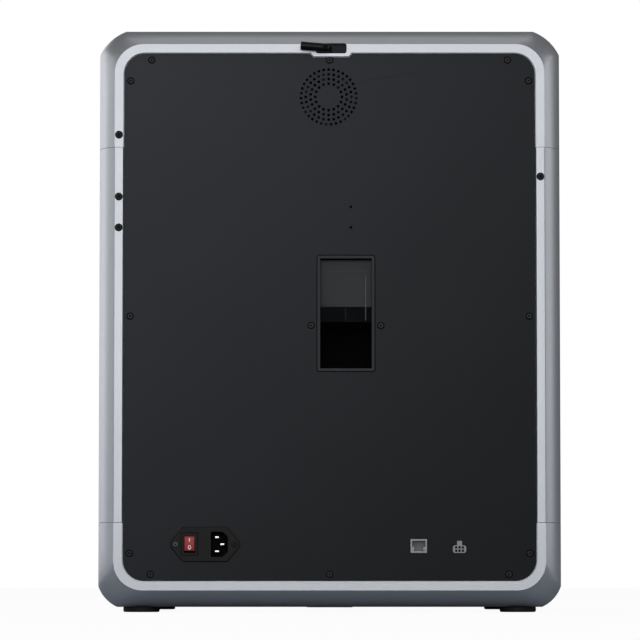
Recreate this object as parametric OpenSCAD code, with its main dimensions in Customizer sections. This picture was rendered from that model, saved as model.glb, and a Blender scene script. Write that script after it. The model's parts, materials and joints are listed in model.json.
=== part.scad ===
// Enclosed filament printer: cast frame, sheet panels, glass door and lid,
// core-XY gantry, two-screw bed lift, rear purge chute and power inlet.
// Millimetres, +Z up, front towards -Y, origin under the middle of the feet.

/* [Body] */
// Width of the frame
body_w = 449; // [430:1:500]
// Depth of the frame, front face to rear band
body_d = 470; // [465:1:520]
// Height of the frame above its feet
body_h = 561.5; // [550:0.5:620]
// Wall of the frame castings
wall = 5; // [4:0.5:7]
// Thickness of the front and rear faces of the castings
face_t = 8; // [7:0.5:10]
// Height of the seam over the base casting
base_seam_z = 86; // [82:0.5:96]
// Height of the top casting, seam to top
top_cast_h = 116.5; // [112:0.5:130]
// Depth of a corner post along Y
post_d = 40; // [32:1:60]
// Inset of the bevel round the rear and front faces
bevel_in = 16; // [10:0.5:22]
// Slope of the bevel where it leaves the flat band
bevel_slope = 35; // [25:1:45]
// Radius of the upper corners
top_r = 46.5; // [40:0.5:56]
// Radius of the lower corners
low_r = 33.9; // [30:0.5:44]
// Radius of the band's outer corners
band_r = 28; // [26:0.5:34]

/* [Rear panel] */
// Width of the flat band round the rear panel
band_w = 8.4; // [7:0.1:12]
// Depth of the panel below the band
panel_recess = 2.5; // [1:0.1:4]
// Thickness of the rear panel
panel_t = 2.5; // [1.5:0.1:3]
// Corner radius of the rear panel
panel_r = 21; // [18:0.5:26]
// Shadow gap round the rear panel
panel_gap = 0.7; // [0.3:0.1:1.2]
// Width of the flange that carries the rear panel
flange_w = 12; // [11.5:0.1:14]
// Distance of a panel screw from the opening's edge
screw_inset = 7; // [6:0.1:8]
// Distance of a corner screw along the edge
corner_step = 27.3; // [24:0.1:36]
// Diameter of a panel screw's head
panel_head_d = 6.3; // [5:0.1:7.5]
// Diameter of a screw shank
shank_d = 3; // [2.5:0.1:3.4]
// Diameter of a band screw's head
band_head_d = 7.6; // [6:0.1:8]

/* [Exhaust vent] */
// Offset of the vent along X
vent_x = 1; // [-20:0.5:20]
// Drop of the vent's middle below the panel opening's top
vent_drop = 43; // [42:0.5:50]
// Diameter of a vent hole
vent_hole_d = 2.5; // [2:0.1:3]
// Radius of the innermost ring of holes
vent_ring_r = 13; // [11:0.5:15]
// Step between the rings of holes
vent_step = 4.6; // [4:0.1:4.8]
// Size of the square fan frame
fan_size = 60; // [58:0.5:62]
// Depth of the fan frame
fan_depth = 15; // [12:0.5:16]
// Depth of the filter box before the fan
filter_d = 8; // [6:0.5:10]

/* [Purge chute] */
// Offset of the chute's middle along X
chute_x = -15.8; // [-30:0.1:0]
// Width of the chute's opening
chute_w = 49.7; // [44:0.1:56]
// Drop of the opening's top below the nozzle
chute_drop = 98.3; // [90:0.1:120]
// Height of the chute's opening
chute_h = 106.4; // [90:0.1:120]
// Width of the trim round the opening
trim_w = 3; // [2.5:0.1:5]
// Groove between the trim and the panel
trim_gap = 0.5; // [0.3:0.1:1]
// Wall of the chute's duct
duct_t = 2; // [1.5:0.1:3]
// Height of the duct's mouth below the nozzle
mouth_drop = 6; // [4:0.5:20]
// Length of the clear guard
guard_h = 58.4; // [40:0.1:70]
// Gap over the clear guard
guard_gap = 3.3; // [2:0.1:6]
// Thickness of the clear guard
guard_t = 1.5; // [1:0.1:2]

/* [Power inlet] */
// Distance of the inlet's middle from the panel opening's side
inlet_side = 80; // [70:0.1:90]
// Height of the inlet's middle
inlet_z = 65.3; // [62:0.1:72]
// Length of the inlet's plate between its rounded ends
inlet_w = 67.6; // [64:0.1:72]
// Height of the inlet's plate
inlet_h = 33.6; // [32:0.1:36]
// Thickness of the inlet's plate
inlet_t = 2; // [1.5:0.1:3]
// Spacing of the inlet's two screws
inlet_pitch = 56.6; // [55:0.1:58]
// Offset of the socket from the inlet's middle
socket_dx = -13.9; // [-15:0.1:-12]
// Width of the socket
socket_w = 16.4; // [15:0.1:17]
// Height of the socket
socket_h = 24.3; // [23:0.1:26]
// Offset of the rocker switch from the inlet's middle
rocker_dx = 14.9; // [13:0.1:16]
// Width of the rocker
rocker_w = 10; // [8:0.1:11]
// Height of the rocker
rocker_h = 15.6; // [14:0.1:17]
// Throw of the rocker in degrees
rocker_throw = 14; // [10:0.5:16]

/* [Sockets] */
// Distance of the network jack from the panel opening's side
jack_side = 114.2; // [100:0.1:130]
// Height of the circuit board's top face
board_z = 57; // [54:0.5:66]
// Width of the network jack
jack_w = 16; // [15:0.1:18]
// Height of the network jack
jack_h = 13.4; // [13:0.1:15]
// Distance of the accessory socket from the panel opening's side
acc_side = 74.9; // [60:0.1:85]
// Width of the accessory socket
acc_w = 13; // [11:0.1:16]
// Height of the accessory socket's body
acc_h = 7.4; // [6:0.1:9]
// Depth of the filament port's recess
port_depth = 5; // [3:0.5:6]
// Outer diameter of the filament tube
tube_d = 8; // [6:0.5:9]
// Inner diameter of the filament tube
tube_bore = 4; // [2:0.1:5]

/* [Feet] */
// Diameter of a foot
foot_d = 35.4; // [30:0.2:40]
// Height of a foot
foot_h = 5; // [4:0.5:10]
// Distance of a foot's middle from the frame's side
foot_side = 41.5; // [40:0.5:55]
// Distance of a foot's middle from the frame's front and rear
foot_end = 42; // [40:0.5:65]

/* [Door and lid] */
// Thickness of the door glass
glass_t = 3; // [2.5:0.1:4]
// Distance of the door opening from the frame's side
door_side = 28.5; // [28:0.5:45]
// Drop of the door opening's top below the frame's top
door_drop = 100.5; // [96:0.5:106]
// Lap of the door glass over the opening
door_lap = 5; // [3:0.5:6]
// Radius of the door's hinge knuckle
knuckle_r = 4.5; // [4:0.1:5]
// Diameter of the hinge pins
pin_d = 4; // [3:0.1:5]
// Distance of the opening under the lid from the frame's side
lid_side = 38.5; // [36:0.5:55]
// Distance of the opening under the lid from the frame's front
lid_front_rim = 40; // [35:0.5:55]
// Distance of the opening under the lid from the frame's rear
lid_rear_rim = 75; // [60:0.5:95]
// Lap of the lid over its opening
lid_lap = 8.6; // [6:0.1:10]
// Depth of the seat that takes the lid
lid_seat = 2.5; // [2:0.1:3]

/* [Motion] */
// Diameter of the bed's guide rods
rod_d = 10; // [8:0.5:12]
// Diameter of the lead screws
lead_screw_d = 8; // [6:0.5:10]
// Distance of the lead screws from the side wall
screw_wall = 35.5; // [33:0.5:37]
// Place of the lead screws along Y
screw_y = -10; // [-20:1:0]
// Spacing of the guide rods from their lead screw
rod_dy = 55; // [45:1:65]
// Side of the square printing plate
plate_w = 310; // [300:1:314]
// Rest height of the printing plate's top
plate_z = 260; // [240:1:300]
// Drop of the gantry's rods below the frame's top
gantry_drop = 86.5; // [83:0.5:89]
// Drop of the nozzle's tip below the gantry's rods
nozzle_drop = 40; // [36:0.5:42]
// Distance of the gantry's rods from the castings' bars
gantry_side = 6.5; // [5.5:0.5:7]
// Side of the square cross beam
beam_w = 16; // [14:0.5:18]
// Distance of the beam's middle behind the nozzle
beam_dy = 24; // [23:0.5:26]
// Half width of the toolhead
head_half = 23.5; // [20:0.5:23.5]
// Size of a stepping motor's square body
motor_w = 42; // [40:0.5:43]
// Length of a stepping motor
motor_h = 40; // [30:1:44]
// Radius of the belt pulleys
pulley_r = 6; // [5:0.1:6.4]
// Width of the drive belts
belt_w = 6; // [5:0.5:8]
// Thickness of the drive belts
belt_t = 1.2; // [0.8:0.1:1.6]

/* [Screen] */
// Width of the screen's case
screen_w = 112; // [90:1:120]
// Height of the screen's case
screen_h = 64; // [50:1:66]
// Distance of the screen's middle from the frame's side
screen_side = 124.5; // [110:0.5:140]

/* [Hidden] */
$fn = 48;

fit = 0.05;        // running fit of a shaft in its bore, on the radius
gap = 0.3;         // clearance between pieces that don't run on each other
eps = 1;           // overrun of a cut past the face that it opens

half_w = body_w / 2;
half_d = body_d / 2;
top_z = foot_h + body_h;
top_seam_z = top_z - top_cast_h;
band_y = half_d;                                   // rear band's face
panel_y = band_y - panel_recess;                   // rear panel's outer face
panel_in = panel_y - panel_t;                      // rear panel's inner face
in_x = half_w - wall;                              // inner face of the side walls
in_y = half_d - face_t;                            // inner face of the front and rear walls
open_x = half_w - bevel_in - band_w;               // panel opening, half width
open_z0 = foot_h + bevel_in + band_w;
open_z1 = top_z - bevel_in - band_w;
vent_z = open_z1 - vent_drop;
gantry_z = top_z - gantry_drop;
gantry_x = half_w - bevel_in - gantry_side;
nozzle_z = gantry_z - nozzle_drop;
chute_top = nozzle_z - chute_drop;
chute_z = chute_top - chute_h;
trim_x = chute_w / 2 + trim_w;                     // trim, half width
front_y = -half_d;
inlet_x = open_x - inlet_side;
jack_x = jack_side - open_x;
acc_x = acc_side - open_x;
door_open = half_w - door_side;                    // door opening, half width
door_top = top_z - door_drop;
lid_open = half_w - lid_side;                      // opening under the lid, half width
lid_front = half_d - lid_front_rim;
lid_rear = half_d - lid_rear_rim;
screw_x = in_x - screw_wall;
screen_x = half_w - screen_side;

// Corner arcs run past the flats, so that they meet them at a slight edge.
top_over = [4.6, 3];                               // past the side and past the top
low_over = [1.8, 2.9];                             // past the side and past the bottom
arc_steps = 12;

function mix(a, b, u) = a + (b - a) * u;
function arc(r, over, u) =
    let(side = acos((r - over[0] * (1 - u)) / r), flat = asin((r - over[1] * (1 - u)) / r))
    [for (i = [0:arc_steps]) let(a = mix(side, flat, i / arc_steps)) [r * cos(a), r * sin(a)]];
// Frame outline across X and Z, moved in by an inset of up to bevel_in
function outline(inset) =
    let(u = inset / bevel_in,
        rt = mix(top_r, band_r, u), rl = mix(low_r, band_r, u),
        tx = half_w - inset + top_over[0] * (1 - u) - rt,
        tz = top_z - inset + top_over[1] * (1 - u) - rt,
        lx = half_w - inset + low_over[0] * (1 - u) - rl,
        lz = foot_h + inset - low_over[1] * (1 - u) + rl,
        at = arc(rt, top_over, u), al = arc(rl, low_over, u), n = arc_steps)
    concat([for (i = [0:n]) [tx + at[i][0], tz + at[i][1]]],
           [for (i = [0:n]) [-tx - at[n - i][0], tz + at[n - i][1]]],
           [for (i = [0:n]) [-lx - al[i][0], lz - al[i][1]]],
           [for (i = [0:n]) [lx + al[n - i][0], lz - al[n - i][1]]]);

bevel_steps = 6;
bevel_r = bevel_in / (1 - sin(bevel_slope));
function bevel_angle(i) = mix(bevel_slope, 90, i / bevel_steps);
function bevel_inset(i) = bevel_r * (1 - sin(bevel_angle(i)));
function bevel_back(i) = bevel_r * (cos(bevel_slope) - cos(bevel_angle(i)));
bar_x = half_w - bevel_in;                         // inner face of the bars behind the bevels
bar_y = half_d - bevel_back(bevel_steps);          // the bars lie past this, front and rear

// Extrudes a flat shape drawn across X and Z from y0 to y1
module along_y(y0, y1) {
    translate([0, y1, 0]) rotate([90, 0, 0]) linear_extrude(y1 - y0) children();
}

// Extrudes a flat shape drawn across Y and Z from x0 to x1
module along_x(x0, x1) {
    translate([x0, 0, 0]) rotate([90, 0, 90]) linear_extrude(x1 - x0) children();
}

// Box from one corner to the opposite one
module box(a, b) {
    translate(a) cube(b - a);
}

// Rectangle with round corners, by its centre
module round_rect(w, h, r) {
    square([w - 2 * r, h], center = true);
    square([w, h - 2 * r], center = true);
    for (x = [-1, 1], y = [-1, 1]) translate([x * (w / 2 - r), y * (h / 2 - r)]) circle(r);
}

// Whole frame as one block, bevelled at both faces
module frame_block() {
    m = 4 * (arc_steps + 1);
    places = concat([for (i = [0:bevel_steps]) [-half_d + bevel_back(i), bevel_inset(i)]],
                    [for (i = [bevel_steps:-1:0]) [half_d - bevel_back(i), bevel_inset(i)]]);
    k = len(places);
    points = [for (p = places) for (q = outline(p[1])) [q[0], p[0], q[1]]];
    sides = [for (j = [0:k - 2]) for (i = [0:m - 1])
        [j * m + i, j * m + (i + 1) % m, (j + 1) * m + (i + 1) % m, (j + 1) * m + i]];
    front = [for (i = [m - 1:-1:0]) i];
    rear = [for (i = [0:m - 1]) (k - 1) * m + i];
    polyhedron(points, concat(sides, [front, rear]), convexity = 4);
}

module panel_outline(grow) {
    translate([0, (open_z0 + open_z1) / 2])
        round_rect(2 * (open_x + grow), open_z1 - open_z0 + 2 * grow, panel_r + grow);
}

// Keeps the shapes from z0 to z1 and hollows them to the castings' walls
module casting(z0, z1) {
    difference() {
        intersection() {
            frame_block();
            box([-half_w - 1, -half_d - 1, z0], [half_w + 1, half_d + 1, z1]);
        }
        along_y(-bar_y, bar_y) polygon(outline(wall));
        along_y(-in_y, in_y) polygon(outline(bevel_in));
        along_y(panel_in, half_d + eps) panel_outline(0);
        along_y(in_y - eps, panel_in + eps) panel_outline(-flange_w);
        box([-door_open, -half_d - eps, base_seam_z], [door_open, eps - in_y, door_top]);
        panel_screw_holes(shank_d / 2 + fit, in_y - eps, panel_in + eps);
        band_screw_holes(shank_d / 2 + fit, band_y - band_shank, band_y + eps);
    }
}

band_shank = 6;
band_head_h = 2.2;
band_screw_x = half_w - bevel_in - band_w / 2;
band_screw_rows = [12, -48.2, -78.2, -28.7];         // from the upper seam
band_screw_sides = [1, 1, 1, -1];
band_screw_places = [for (i = [0:3]) [band_screw_sides[i], top_seam_z + band_screw_rows[i]]];

module band_screw_holes(r, y0, y1) {
    for (p = band_screw_places) translate([p[0] * band_screw_x, 0, p[1]]) along_y(y0, y1) circle(r);
}

screw_rows = [open_z1 - screw_inset, open_z0 + screw_inset];
step_rows = [open_z1 - corner_step, (open_z0 + open_z1) / 2, open_z0 + corner_step];
panel_screw_places = concat(
    [for (z = screw_rows) for (x = [-1, 0, 1]) [x * (open_x - corner_step), z]],
    [for (z = step_rows) for (x = [-1, 1]) [x * (open_x - screw_inset), z]]);

module panel_screw_holes(r, y0, y1) {
    for (p = panel_screw_places) translate([p[0], 0, p[1]]) along_y(y0, y1) circle(r);
}

// Button-headed screw along Y: head over the face, shank below it
module button_screw(head_d, head_h, shank) {
    rotate([90, 0, 0]) difference() {
        union() {
            translate([0, 0, -head_h]) cylinder(h = head_h * 0.6, d1 = head_d * 0.7, d2 = head_d);
            translate([0, 0, -head_h * 0.4]) cylinder(h = head_h * 0.4, d = head_d);
            cylinder(h = shank, d = shank_d);
        }
        translate([0, 0, -head_h - eps]) cylinder(h = head_h * 0.6 + eps, d = head_d * 0.36, $fn = 6);
    }
}

// Filament port: its recess breaks the top band, which bulges down round it
port_x = -1.5;
port_w = 30;
port_h = 10;
port_z = open_z1 + 4.3;
port_in = band_y - port_depth;
bulge = 3.6;
bulge_w = 33.8;
bulge_slope = 2.3;

module port_bulge(grow) {
    polygon([[port_x - bulge_w / 2 - bulge_slope - grow, open_z1 + eps],
             [port_x - bulge_w / 2 - bulge_slope - grow, open_z1 - bulge + bulge_slope],
             [port_x - bulge_w / 2 - grow / 2, open_z1 - bulge - grow],
             [port_x + bulge_w / 2 + grow / 2, open_z1 - bulge - grow],
             [port_x + bulge_w / 2 + bulge_slope + grow, open_z1 - bulge + bulge_slope],
             [port_x + bulge_w / 2 + bulge_slope + grow, open_z1 + eps]]);
}

module port_shape(grow) {
    translate([port_x, port_z]) round_rect(port_w + 2 * grow, port_h + 2 * grow, 2.5 + grow);
}

// Part of a casting between two places along Y
module slice(y0, y1) {
    color("silver") intersection() {
        children();
        box([-half_w - eps, y0, 0], [half_w + eps, y1, top_z + eps]);
    }
}

module top_casting() {
    difference() {
        union() {
            casting(top_seam_z, top_z);
            along_y(panel_in, band_y) port_bulge(0);
        }
        along_y(in_y - eps, band_y + eps) port_shape(0);
        box([-lid_open, -lid_front, open_z1], [lid_open, lid_rear, top_z + eps]);
        box([-lid_open - lid_lap - gap, -lid_front - lid_lap - gap, top_z - lid_seat],
            [lid_open + lid_lap + gap, lid_rear + lid_lap + gap, top_z + eps]);
    }
}

// The top and base castings are each drawn as a middle and the two rings at their faces
ring_y = floor(bar_y);
module frame_top() { slice(-ring_y, ring_y) top_casting(); }
module frame_top_rear() { slice(ring_y, half_d + eps) top_casting(); }
module frame_top_front() { slice(-half_d - eps, -ring_y) top_casting(); }

// Corner post: the casting between the seams, cut to one corner
module post(sx, sy) {
    color("silver") intersection() {
        casting(base_seam_z, top_seam_z);
        translate([sx > 0 ? 0 : -half_w - 1, sy > 0 ? half_d - post_d : -half_d - 1, 0])
            cube([half_w + 1, post_d + 1, top_z]);
    }
}

module corner_posts() {
    for (sx = [-1, 1], sy = [-1, 1]) post(sx, sy);
}

tab_w = 44;
tab_h = 0.5;
tab_d = 26;
tab_end = 34;
module base_casting() {
    casting(foot_h, base_seam_z);
    box([-tab_w / 2, half_d - tab_end - tab_d, foot_h - tab_h], [tab_w / 2, half_d - tab_end, foot_h]);
}

module frame_base() { slice(-ring_y, ring_y) base_casting(); }
module frame_base_rear() { slice(ring_y, half_d + eps) base_casting(); }
module frame_base_front() { slice(-half_d - eps, -ring_y) base_casting(); }

small_hole_d = 2.4;
small_hole_x = chute_x - 4.8;
small_hole_rise = 30.2;
small_hole_step = 20;
small_holes = [for (i = [0, 1]) [small_hole_x, chute_top + small_hole_rise + i * small_hole_step]];
vent_rings = [16, 22, 28, 35];
head_seat = 0.6;

module vent_holes() {
    for (j = [0:len(vent_rings) - 1]) for (i = [0:vent_rings[j] - 1])
        translate([vent_x, vent_z]) rotate(90 + i * 360 / vent_rings[j])
            translate([vent_ring_r + j * vent_step, 0]) circle(d = vent_hole_d, $fn = 16);
}

module back_panel() {
    color("dimgray") difference() {
        along_y(panel_in, panel_y) difference() {
            panel_outline(-panel_gap);
            port_bulge(panel_gap);
            vent_holes();
            for (p = small_holes) translate(p) circle(d = small_hole_d);
            translate([chute_x, chute_z + chute_h / 2])
                round_rect(2 * (trim_x + trim_gap), chute_h + 2 * (trim_w + trim_gap), trim_r + trim_gap);
            inlet_cutout(gap);
            translate([jack_x, board_z + jack_h / 2])
                square([jack_w + 2 * gap, jack_h + 2 * gap], center = true);
            accessory_outline(gap);
        }
        panel_screw_holes(shank_d / 2 + 2 * fit, panel_in - eps, panel_y + eps);
        panel_screw_holes(panel_head_d / 2 + gap, panel_y - head_seat, panel_y + eps);
        chute_screw_holes(shank_d / 2 + 2 * fit, panel_in - eps, panel_y + eps);
        chute_screw_holes(panel_head_d / 2 + gap, panel_y - head_seat, panel_y + eps);
        inlet_screw_holes(shank_d / 2 + 2 * fit, panel_in - eps, panel_y + eps);
    }
}

side_t = 3;
side_in = half_w - 1 - side_t;
module side_panels() {
    color("dimgray") for (s = [-1, 1])
        box([s > 0 ? side_in : -half_w + 1, -half_d + post_d + gap, base_seam_z + gap],
            [s > 0 ? half_w - 1 : -side_in, half_d - post_d - gap, top_seam_z - gap]);
}

deck_t = 2.5;
deck_z = base_seam_z - deck_t;
module base_deck() {
    color("dimgray") difference() {
        union() {
            box([-in_x + gap, -bar_y + gap, deck_z], [in_x - gap, bar_y - gap, base_seam_z]);
            box([-bar_x + gap, -in_y + gap, deck_z], [bar_x - gap, in_y - gap, base_seam_z]);
        }
        for (s = [-1, 1]) translate([s * screw_x, screw_y, deck_z - eps]) {
            cylinder(h = deck_t + 2 * eps, r = lead_screw_d / 2 + 1);
            for (t = [-1, 1]) translate([0, t * rod_dy, 0])
                cylinder(h = deck_t + 2 * eps, r = rod_d / 2 + fit);
        }
    }
}

foot_x = half_w - foot_side;
foot_y = half_d - foot_end;
foot_edge = 1;
module feet() {
    color([0.09, 0.09, 0.1]) for (x = [-1, 1], y = [-1, 1]) translate([x * foot_x, y * foot_y, 0]) {
        cylinder(h = foot_edge, d1 = foot_d - 2 * foot_edge, d2 = foot_d);
        translate([0, 0, foot_edge]) cylinder(h = foot_h - foot_edge, d = foot_d);
    }
}

panel_head_h = 1.6;
module panel_screws() {
    color("dimgray") for (p = panel_screw_places)
        translate([p[0], panel_y - head_seat, p[1]])
            button_screw(panel_head_d, panel_head_h, panel_y - head_seat - in_y);
    color("dimgray") for (s = [-1, 1])
        translate([chute_x + s * chute_screw_x, panel_y - head_seat, chute_screw_z])
            button_screw(panel_head_d, panel_head_h, chute_screw_l);
}

module band_screws() {
    color([0.06, 0.06, 0.07]) for (p = band_screw_places)
        translate([p[0] * band_screw_x, band_y, p[1]])
            button_screw(band_head_d, band_head_h, band_shank - gap);
}

// Purge chute
trim_d = 5;
trim_r = 2.5;
ear_w = 10;
ear_h = 14;
ear_t = 6;
chute_screw_l = 8;
chute_screw_side = 5.9;
chute_screw_rise = 41.4;
chute_screw_x = trim_x + chute_screw_side;
chute_screw_z = chute_z + chute_screw_rise;
duct_rear = panel_y - trim_d;
mouth_end = 41.5;
mouth_d = 36;
mouth_y1 = duct_rear - mouth_end;
mouth_y0 = mouth_y1 - mouth_d;
duct_top = nozzle_z - mouth_drop;
throat_rise = 40;
throat_z = chute_top + throat_rise;
slide_rise = 90;
duct_foot_d = 12;

module chute_screw_holes(r, y0, y1) {
    for (s = [-1, 1]) translate([chute_x + s * chute_screw_x, 0, chute_screw_z]) along_y(y0, y1) circle(r);
}

module chute_trim() {
    color("dimgray") along_y(duct_rear, panel_y) translate([chute_x, chute_z + chute_h / 2]) difference() {
        round_rect(2 * trim_x, chute_h + 2 * trim_w, trim_r);
        square([chute_w, chute_h], center = true);
    }
}

// Side view of the duct: a mouth under the nozzle, a throat and a wide foot
module duct_profile(inset, rear) {
    polygon([[mouth_y0 + inset, duct_top + (inset > 0 ? eps : 0)],
             [mouth_y1 - inset, duct_top + (inset > 0 ? eps : 0)],
             [mouth_y1 - inset, throat_z + (inset > 0 ? -inset / 2 : 0)],
             [rear, chute_top + trim_w - inset],
             [rear, chute_z - trim_w + inset],
             [rear - duct_foot_d, chute_z - trim_w + inset],
             [mouth_y0 + inset, chute_z + slide_rise + inset / 2]]);
}

duct_lap = 4;                                      // duct's flange past the trim
module chute_duct() {
    color([0.16, 0.16, 0.17]) difference() {
        union() {
            along_x(chute_x - trim_x, chute_x + trim_x) duct_profile(0, duct_rear);
            along_y(duct_rear - duct_t, panel_in) translate([chute_x, chute_z + chute_h / 2])
                square([2 * (trim_x + duct_lap), chute_h + 2 * (trim_w + duct_lap)], center = true);
            for (s = [-1, 1]) translate([chute_x + s * (trim_x + ear_w / 2), 0, chute_screw_z])
                along_y(panel_in - ear_t, panel_in) square([ear_w, ear_h], center = true);
        }
        along_x(chute_x - trim_x + duct_t, chute_x + trim_x - duct_t) duct_profile(duct_t, duct_rear + eps);
        along_y(duct_rear, panel_in + eps) translate([chute_x, chute_z + chute_h / 2])
            round_rect(2 * (trim_x + fit), chute_h + 2 * (trim_w + fit), trim_r + fit);
        chute_screw_holes(shank_d / 2 + fit, panel_in - ear_t - eps, panel_in + eps);
    }
}

baffle_t = 2;
baffle_h = 45.7;
baffle_top = chute_top - 0.5;
baffle_y = duct_rear - 6;
module chute_baffle() {
    color("gray") box([chute_x - trim_x + duct_t, baffle_y - baffle_t, baffle_top - baffle_h],
                      [chute_x + trim_x - duct_t, baffle_y, baffle_top]);
}

guard_y = panel_y - 3;
module chute_guard() {
    color([0.8, 0.85, 0.9, 0.4])
        box([chute_x - chute_w / 2, guard_y - guard_t, chute_top - guard_gap - guard_h],
            [chute_x + chute_w / 2, guard_y, chute_top - guard_gap]);
}

// Filament port: a liner in the frame's recess, with the tube's elbow in it
elbow_x = 2;
elbow_z = port_z - 0.3;
elbow_y = band_y + tube_d / 2 + 1.2;
elbow_end = 28.1;
elbow_rise = 5;
bend_r = 6;
elbow_y0 = in_y - 8;                               // inner end of the tube
module filament_port() {
    color([0.2, 0.2, 0.21]) difference() {
        along_y(in_y, port_in) port_shape(0);
        translate([elbow_x, 0, elbow_z]) along_y(in_y - eps, port_in + eps) circle(d = tube_d);
    }
}

// Bent rod of one diameter: along +Y, round the bend, then along +X to its end
module bent_rod(d, over) {
    along_y(elbow_y0 - over, elbow_y - bend_r) circle(d = d);
    translate([bend_r, elbow_y - bend_r, 0]) rotate([0, 0, 90]) rotate_extrude(angle = 90)
        translate([bend_r, 0]) circle(d = d);
    translate([bend_r, elbow_y, 0]) rotate([0, 90, 0])
        cylinder(h = elbow_end - elbow_x - bend_r + over, d = d);
}

module filament_elbow() {
    color([0.05, 0.05, 0.06]) translate([elbow_x, 0, elbow_z]) rotate([0, -elbow_rise, 0]) difference() {
        bent_rod(tube_d, 0);
        bent_rod(tube_bore, eps);
    }
}

// Power inlet: plate outside the panel, body behind it
inlet_body_w = 46;
inlet_body_h = 28;
inlet_body_d = 30;
plate_out = panel_y + inlet_t;
bezel = 2.7;
bezel_h = 0.8;
socket_d = 19;
rocker_well = 14;
rocker_x = inlet_x + rocker_dx;
socket_x = inlet_x + socket_dx;
pivot_y = plate_out - 4;
pivot_r = 1.2;
pivot_l = 0.9;

module inlet_cutout(grow) {
    translate([inlet_x, inlet_z]) square([inlet_body_w + 2 * grow, inlet_body_h + 2 * grow], center = true);
}

module inlet_screw_holes(r, y0, y1) {
    for (s = [-1, 1]) translate([inlet_x + s * inlet_pitch / 2, 0, inlet_z]) along_y(y0, y1) circle(r);
}

module inlet_plate_shape() {
    end_r = 5.5;
    corner = 3;
    hull() {
        for (x = [-1, 1]) {
            translate([x * (inlet_w / 2 - end_r), 0]) circle(end_r, $fn = 32);
            for (z = [-1, 1])
                translate([x * (inlet_body_w / 2 - corner), z * (inlet_h / 2 - corner)])
                    circle(corner, $fn = 32);
        }
    }
}

module socket_shape(grow) {
    w = socket_w / 2 + grow;
    h = socket_h / 2 + grow;
    cut = 5;
    translate([socket_x, inlet_z])
        polygon([[w, h], [-w + cut, h], [-w, h - cut], [-w, -h + cut], [-w + cut, -h], [w, -h]]);
}

module inlet_housing() {
    color([0.13, 0.13, 0.14]) difference() {
        union() {
            along_y(panel_y, plate_out) translate([inlet_x, inlet_z]) inlet_plate_shape();
            along_y(plate_out - inlet_body_d, panel_y + eps) inlet_cutout(0);
            along_y(plate_out - eps, plate_out + bezel_h) translate([rocker_x, inlet_z])
                square([rocker_w + 2 * bezel, rocker_h + 2 * bezel], center = true);
        }
        along_y(plate_out - socket_d, plate_out + eps) socket_shape(0);
        along_y(plate_out - rocker_well, plate_out + bezel_h + eps) translate([rocker_x, inlet_z])
            square([rocker_w + 2 * gap, rocker_h + 2 * gap], center = true);
        inlet_screw_holes(shank_d / 2 + 2 * fit, panel_y - eps, plate_out + eps);
    }
    color([0.13, 0.13, 0.14]) for (s = [-1, 1])
        along_x(s > 0 ? rocker_x + rocker_w / 2 - pivot_l : rocker_x - rocker_w / 2 - gap - fit,
                s > 0 ? rocker_x + rocker_w / 2 + gap + fit : rocker_x - rocker_w / 2 + pivot_l)
            translate([pivot_y, inlet_z]) circle(pivot_r);
}

pin_w = 4;
pin_t = 2;
pin_step = 6.8;
pin_drop = 3;
pin_places = [[socket_w * 0.146, pin_step], [socket_w * 0.146, -pin_step], [-socket_w * 0.165, 0]];
module inlet_pins() {
    color("silver") for (p = pin_places)
        box([socket_x + p[0] - pin_w / 2, plate_out - socket_d, inlet_z + p[1] - pin_t / 2],
            [socket_x + p[0] + pin_w / 2, plate_out - pin_drop, inlet_z + p[1] + pin_t / 2]);
}

inlet_head_d = 5.6;
inlet_head_h = 1.2;
inlet_shank = 6;
module inlet_screws() {
    color([0.1, 0.1, 0.1]) for (s = [-1, 1]) translate([inlet_x + s * inlet_pitch / 2, plate_out, inlet_z])
        button_screw(inlet_head_d, inlet_head_h, inlet_shank);
}

// Rocker, drawn with its upper half pressed in; it turns about its pivot along X
module rocker_switch() {
    crest = 5.2;
    high = crest + 0.9;
    half_h = rocker_h / 2 - 0.7;
    lip = 4;
    heel = 3;
    color([0.75, 0.08, 0.08]) difference() {
        along_x(rocker_x - rocker_w / 2, rocker_x + rocker_w / 2) translate([pivot_y, inlet_z])
            rotate(rocker_throw / 2)
            polygon([[crest, 0], [high, half_h], [crest - lip, half_h], [-heel, heel], [-heel, -heel],
                     [crest - lip, -half_h], [high, -half_h]]);
        for (s = [-1, 1])
            along_x(s * rocker_w / 2 + rocker_x - pivot_l - 2 * fit,
                    s * rocker_w / 2 + rocker_x + pivot_l + 2 * fit)
                translate([pivot_y, inlet_z]) circle(pivot_r + fit);
    }
}

// Electronics in the base
board_t = 1.6;
board_side = 26;                                   // board past the accessory socket's middle
board_reach = 34;                                  // board past the network jack's middle
board_d = 106.5;
board_x0 = acc_x - board_side;
board_x1 = jack_x + board_reach;
board_y1 = panel_in - 3.5;
board_y0 = board_y1 - board_d;
sink_w = 32;
sink_h = 3;
sink_in = 20;
driver_w = 12;
driver_d = 10;
driver_h = 8;
driver_in = 30;
driver_step = 16;
module main_board() {
    color("darkgreen") {
        difference() {
            box([board_x0, board_y0, board_z - board_t], [board_x1, board_y1, board_z]);
            for (p = standoff_places) translate([p[0], p[1], board_z - board_t - eps])
                cylinder(h = board_t + 2 * eps, d = shank_d + 4 * fit);
        }
        translate([board_x0 + sink_in, board_y0 + sink_in, board_z]) cube([sink_w, sink_w, sink_h]);
        for (i = [0:3]) translate([board_x1 - driver_in, board_y0 + driver_w + i * driver_step, board_z])
            cube([driver_w, driver_d, driver_h]);
    }
}

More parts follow.
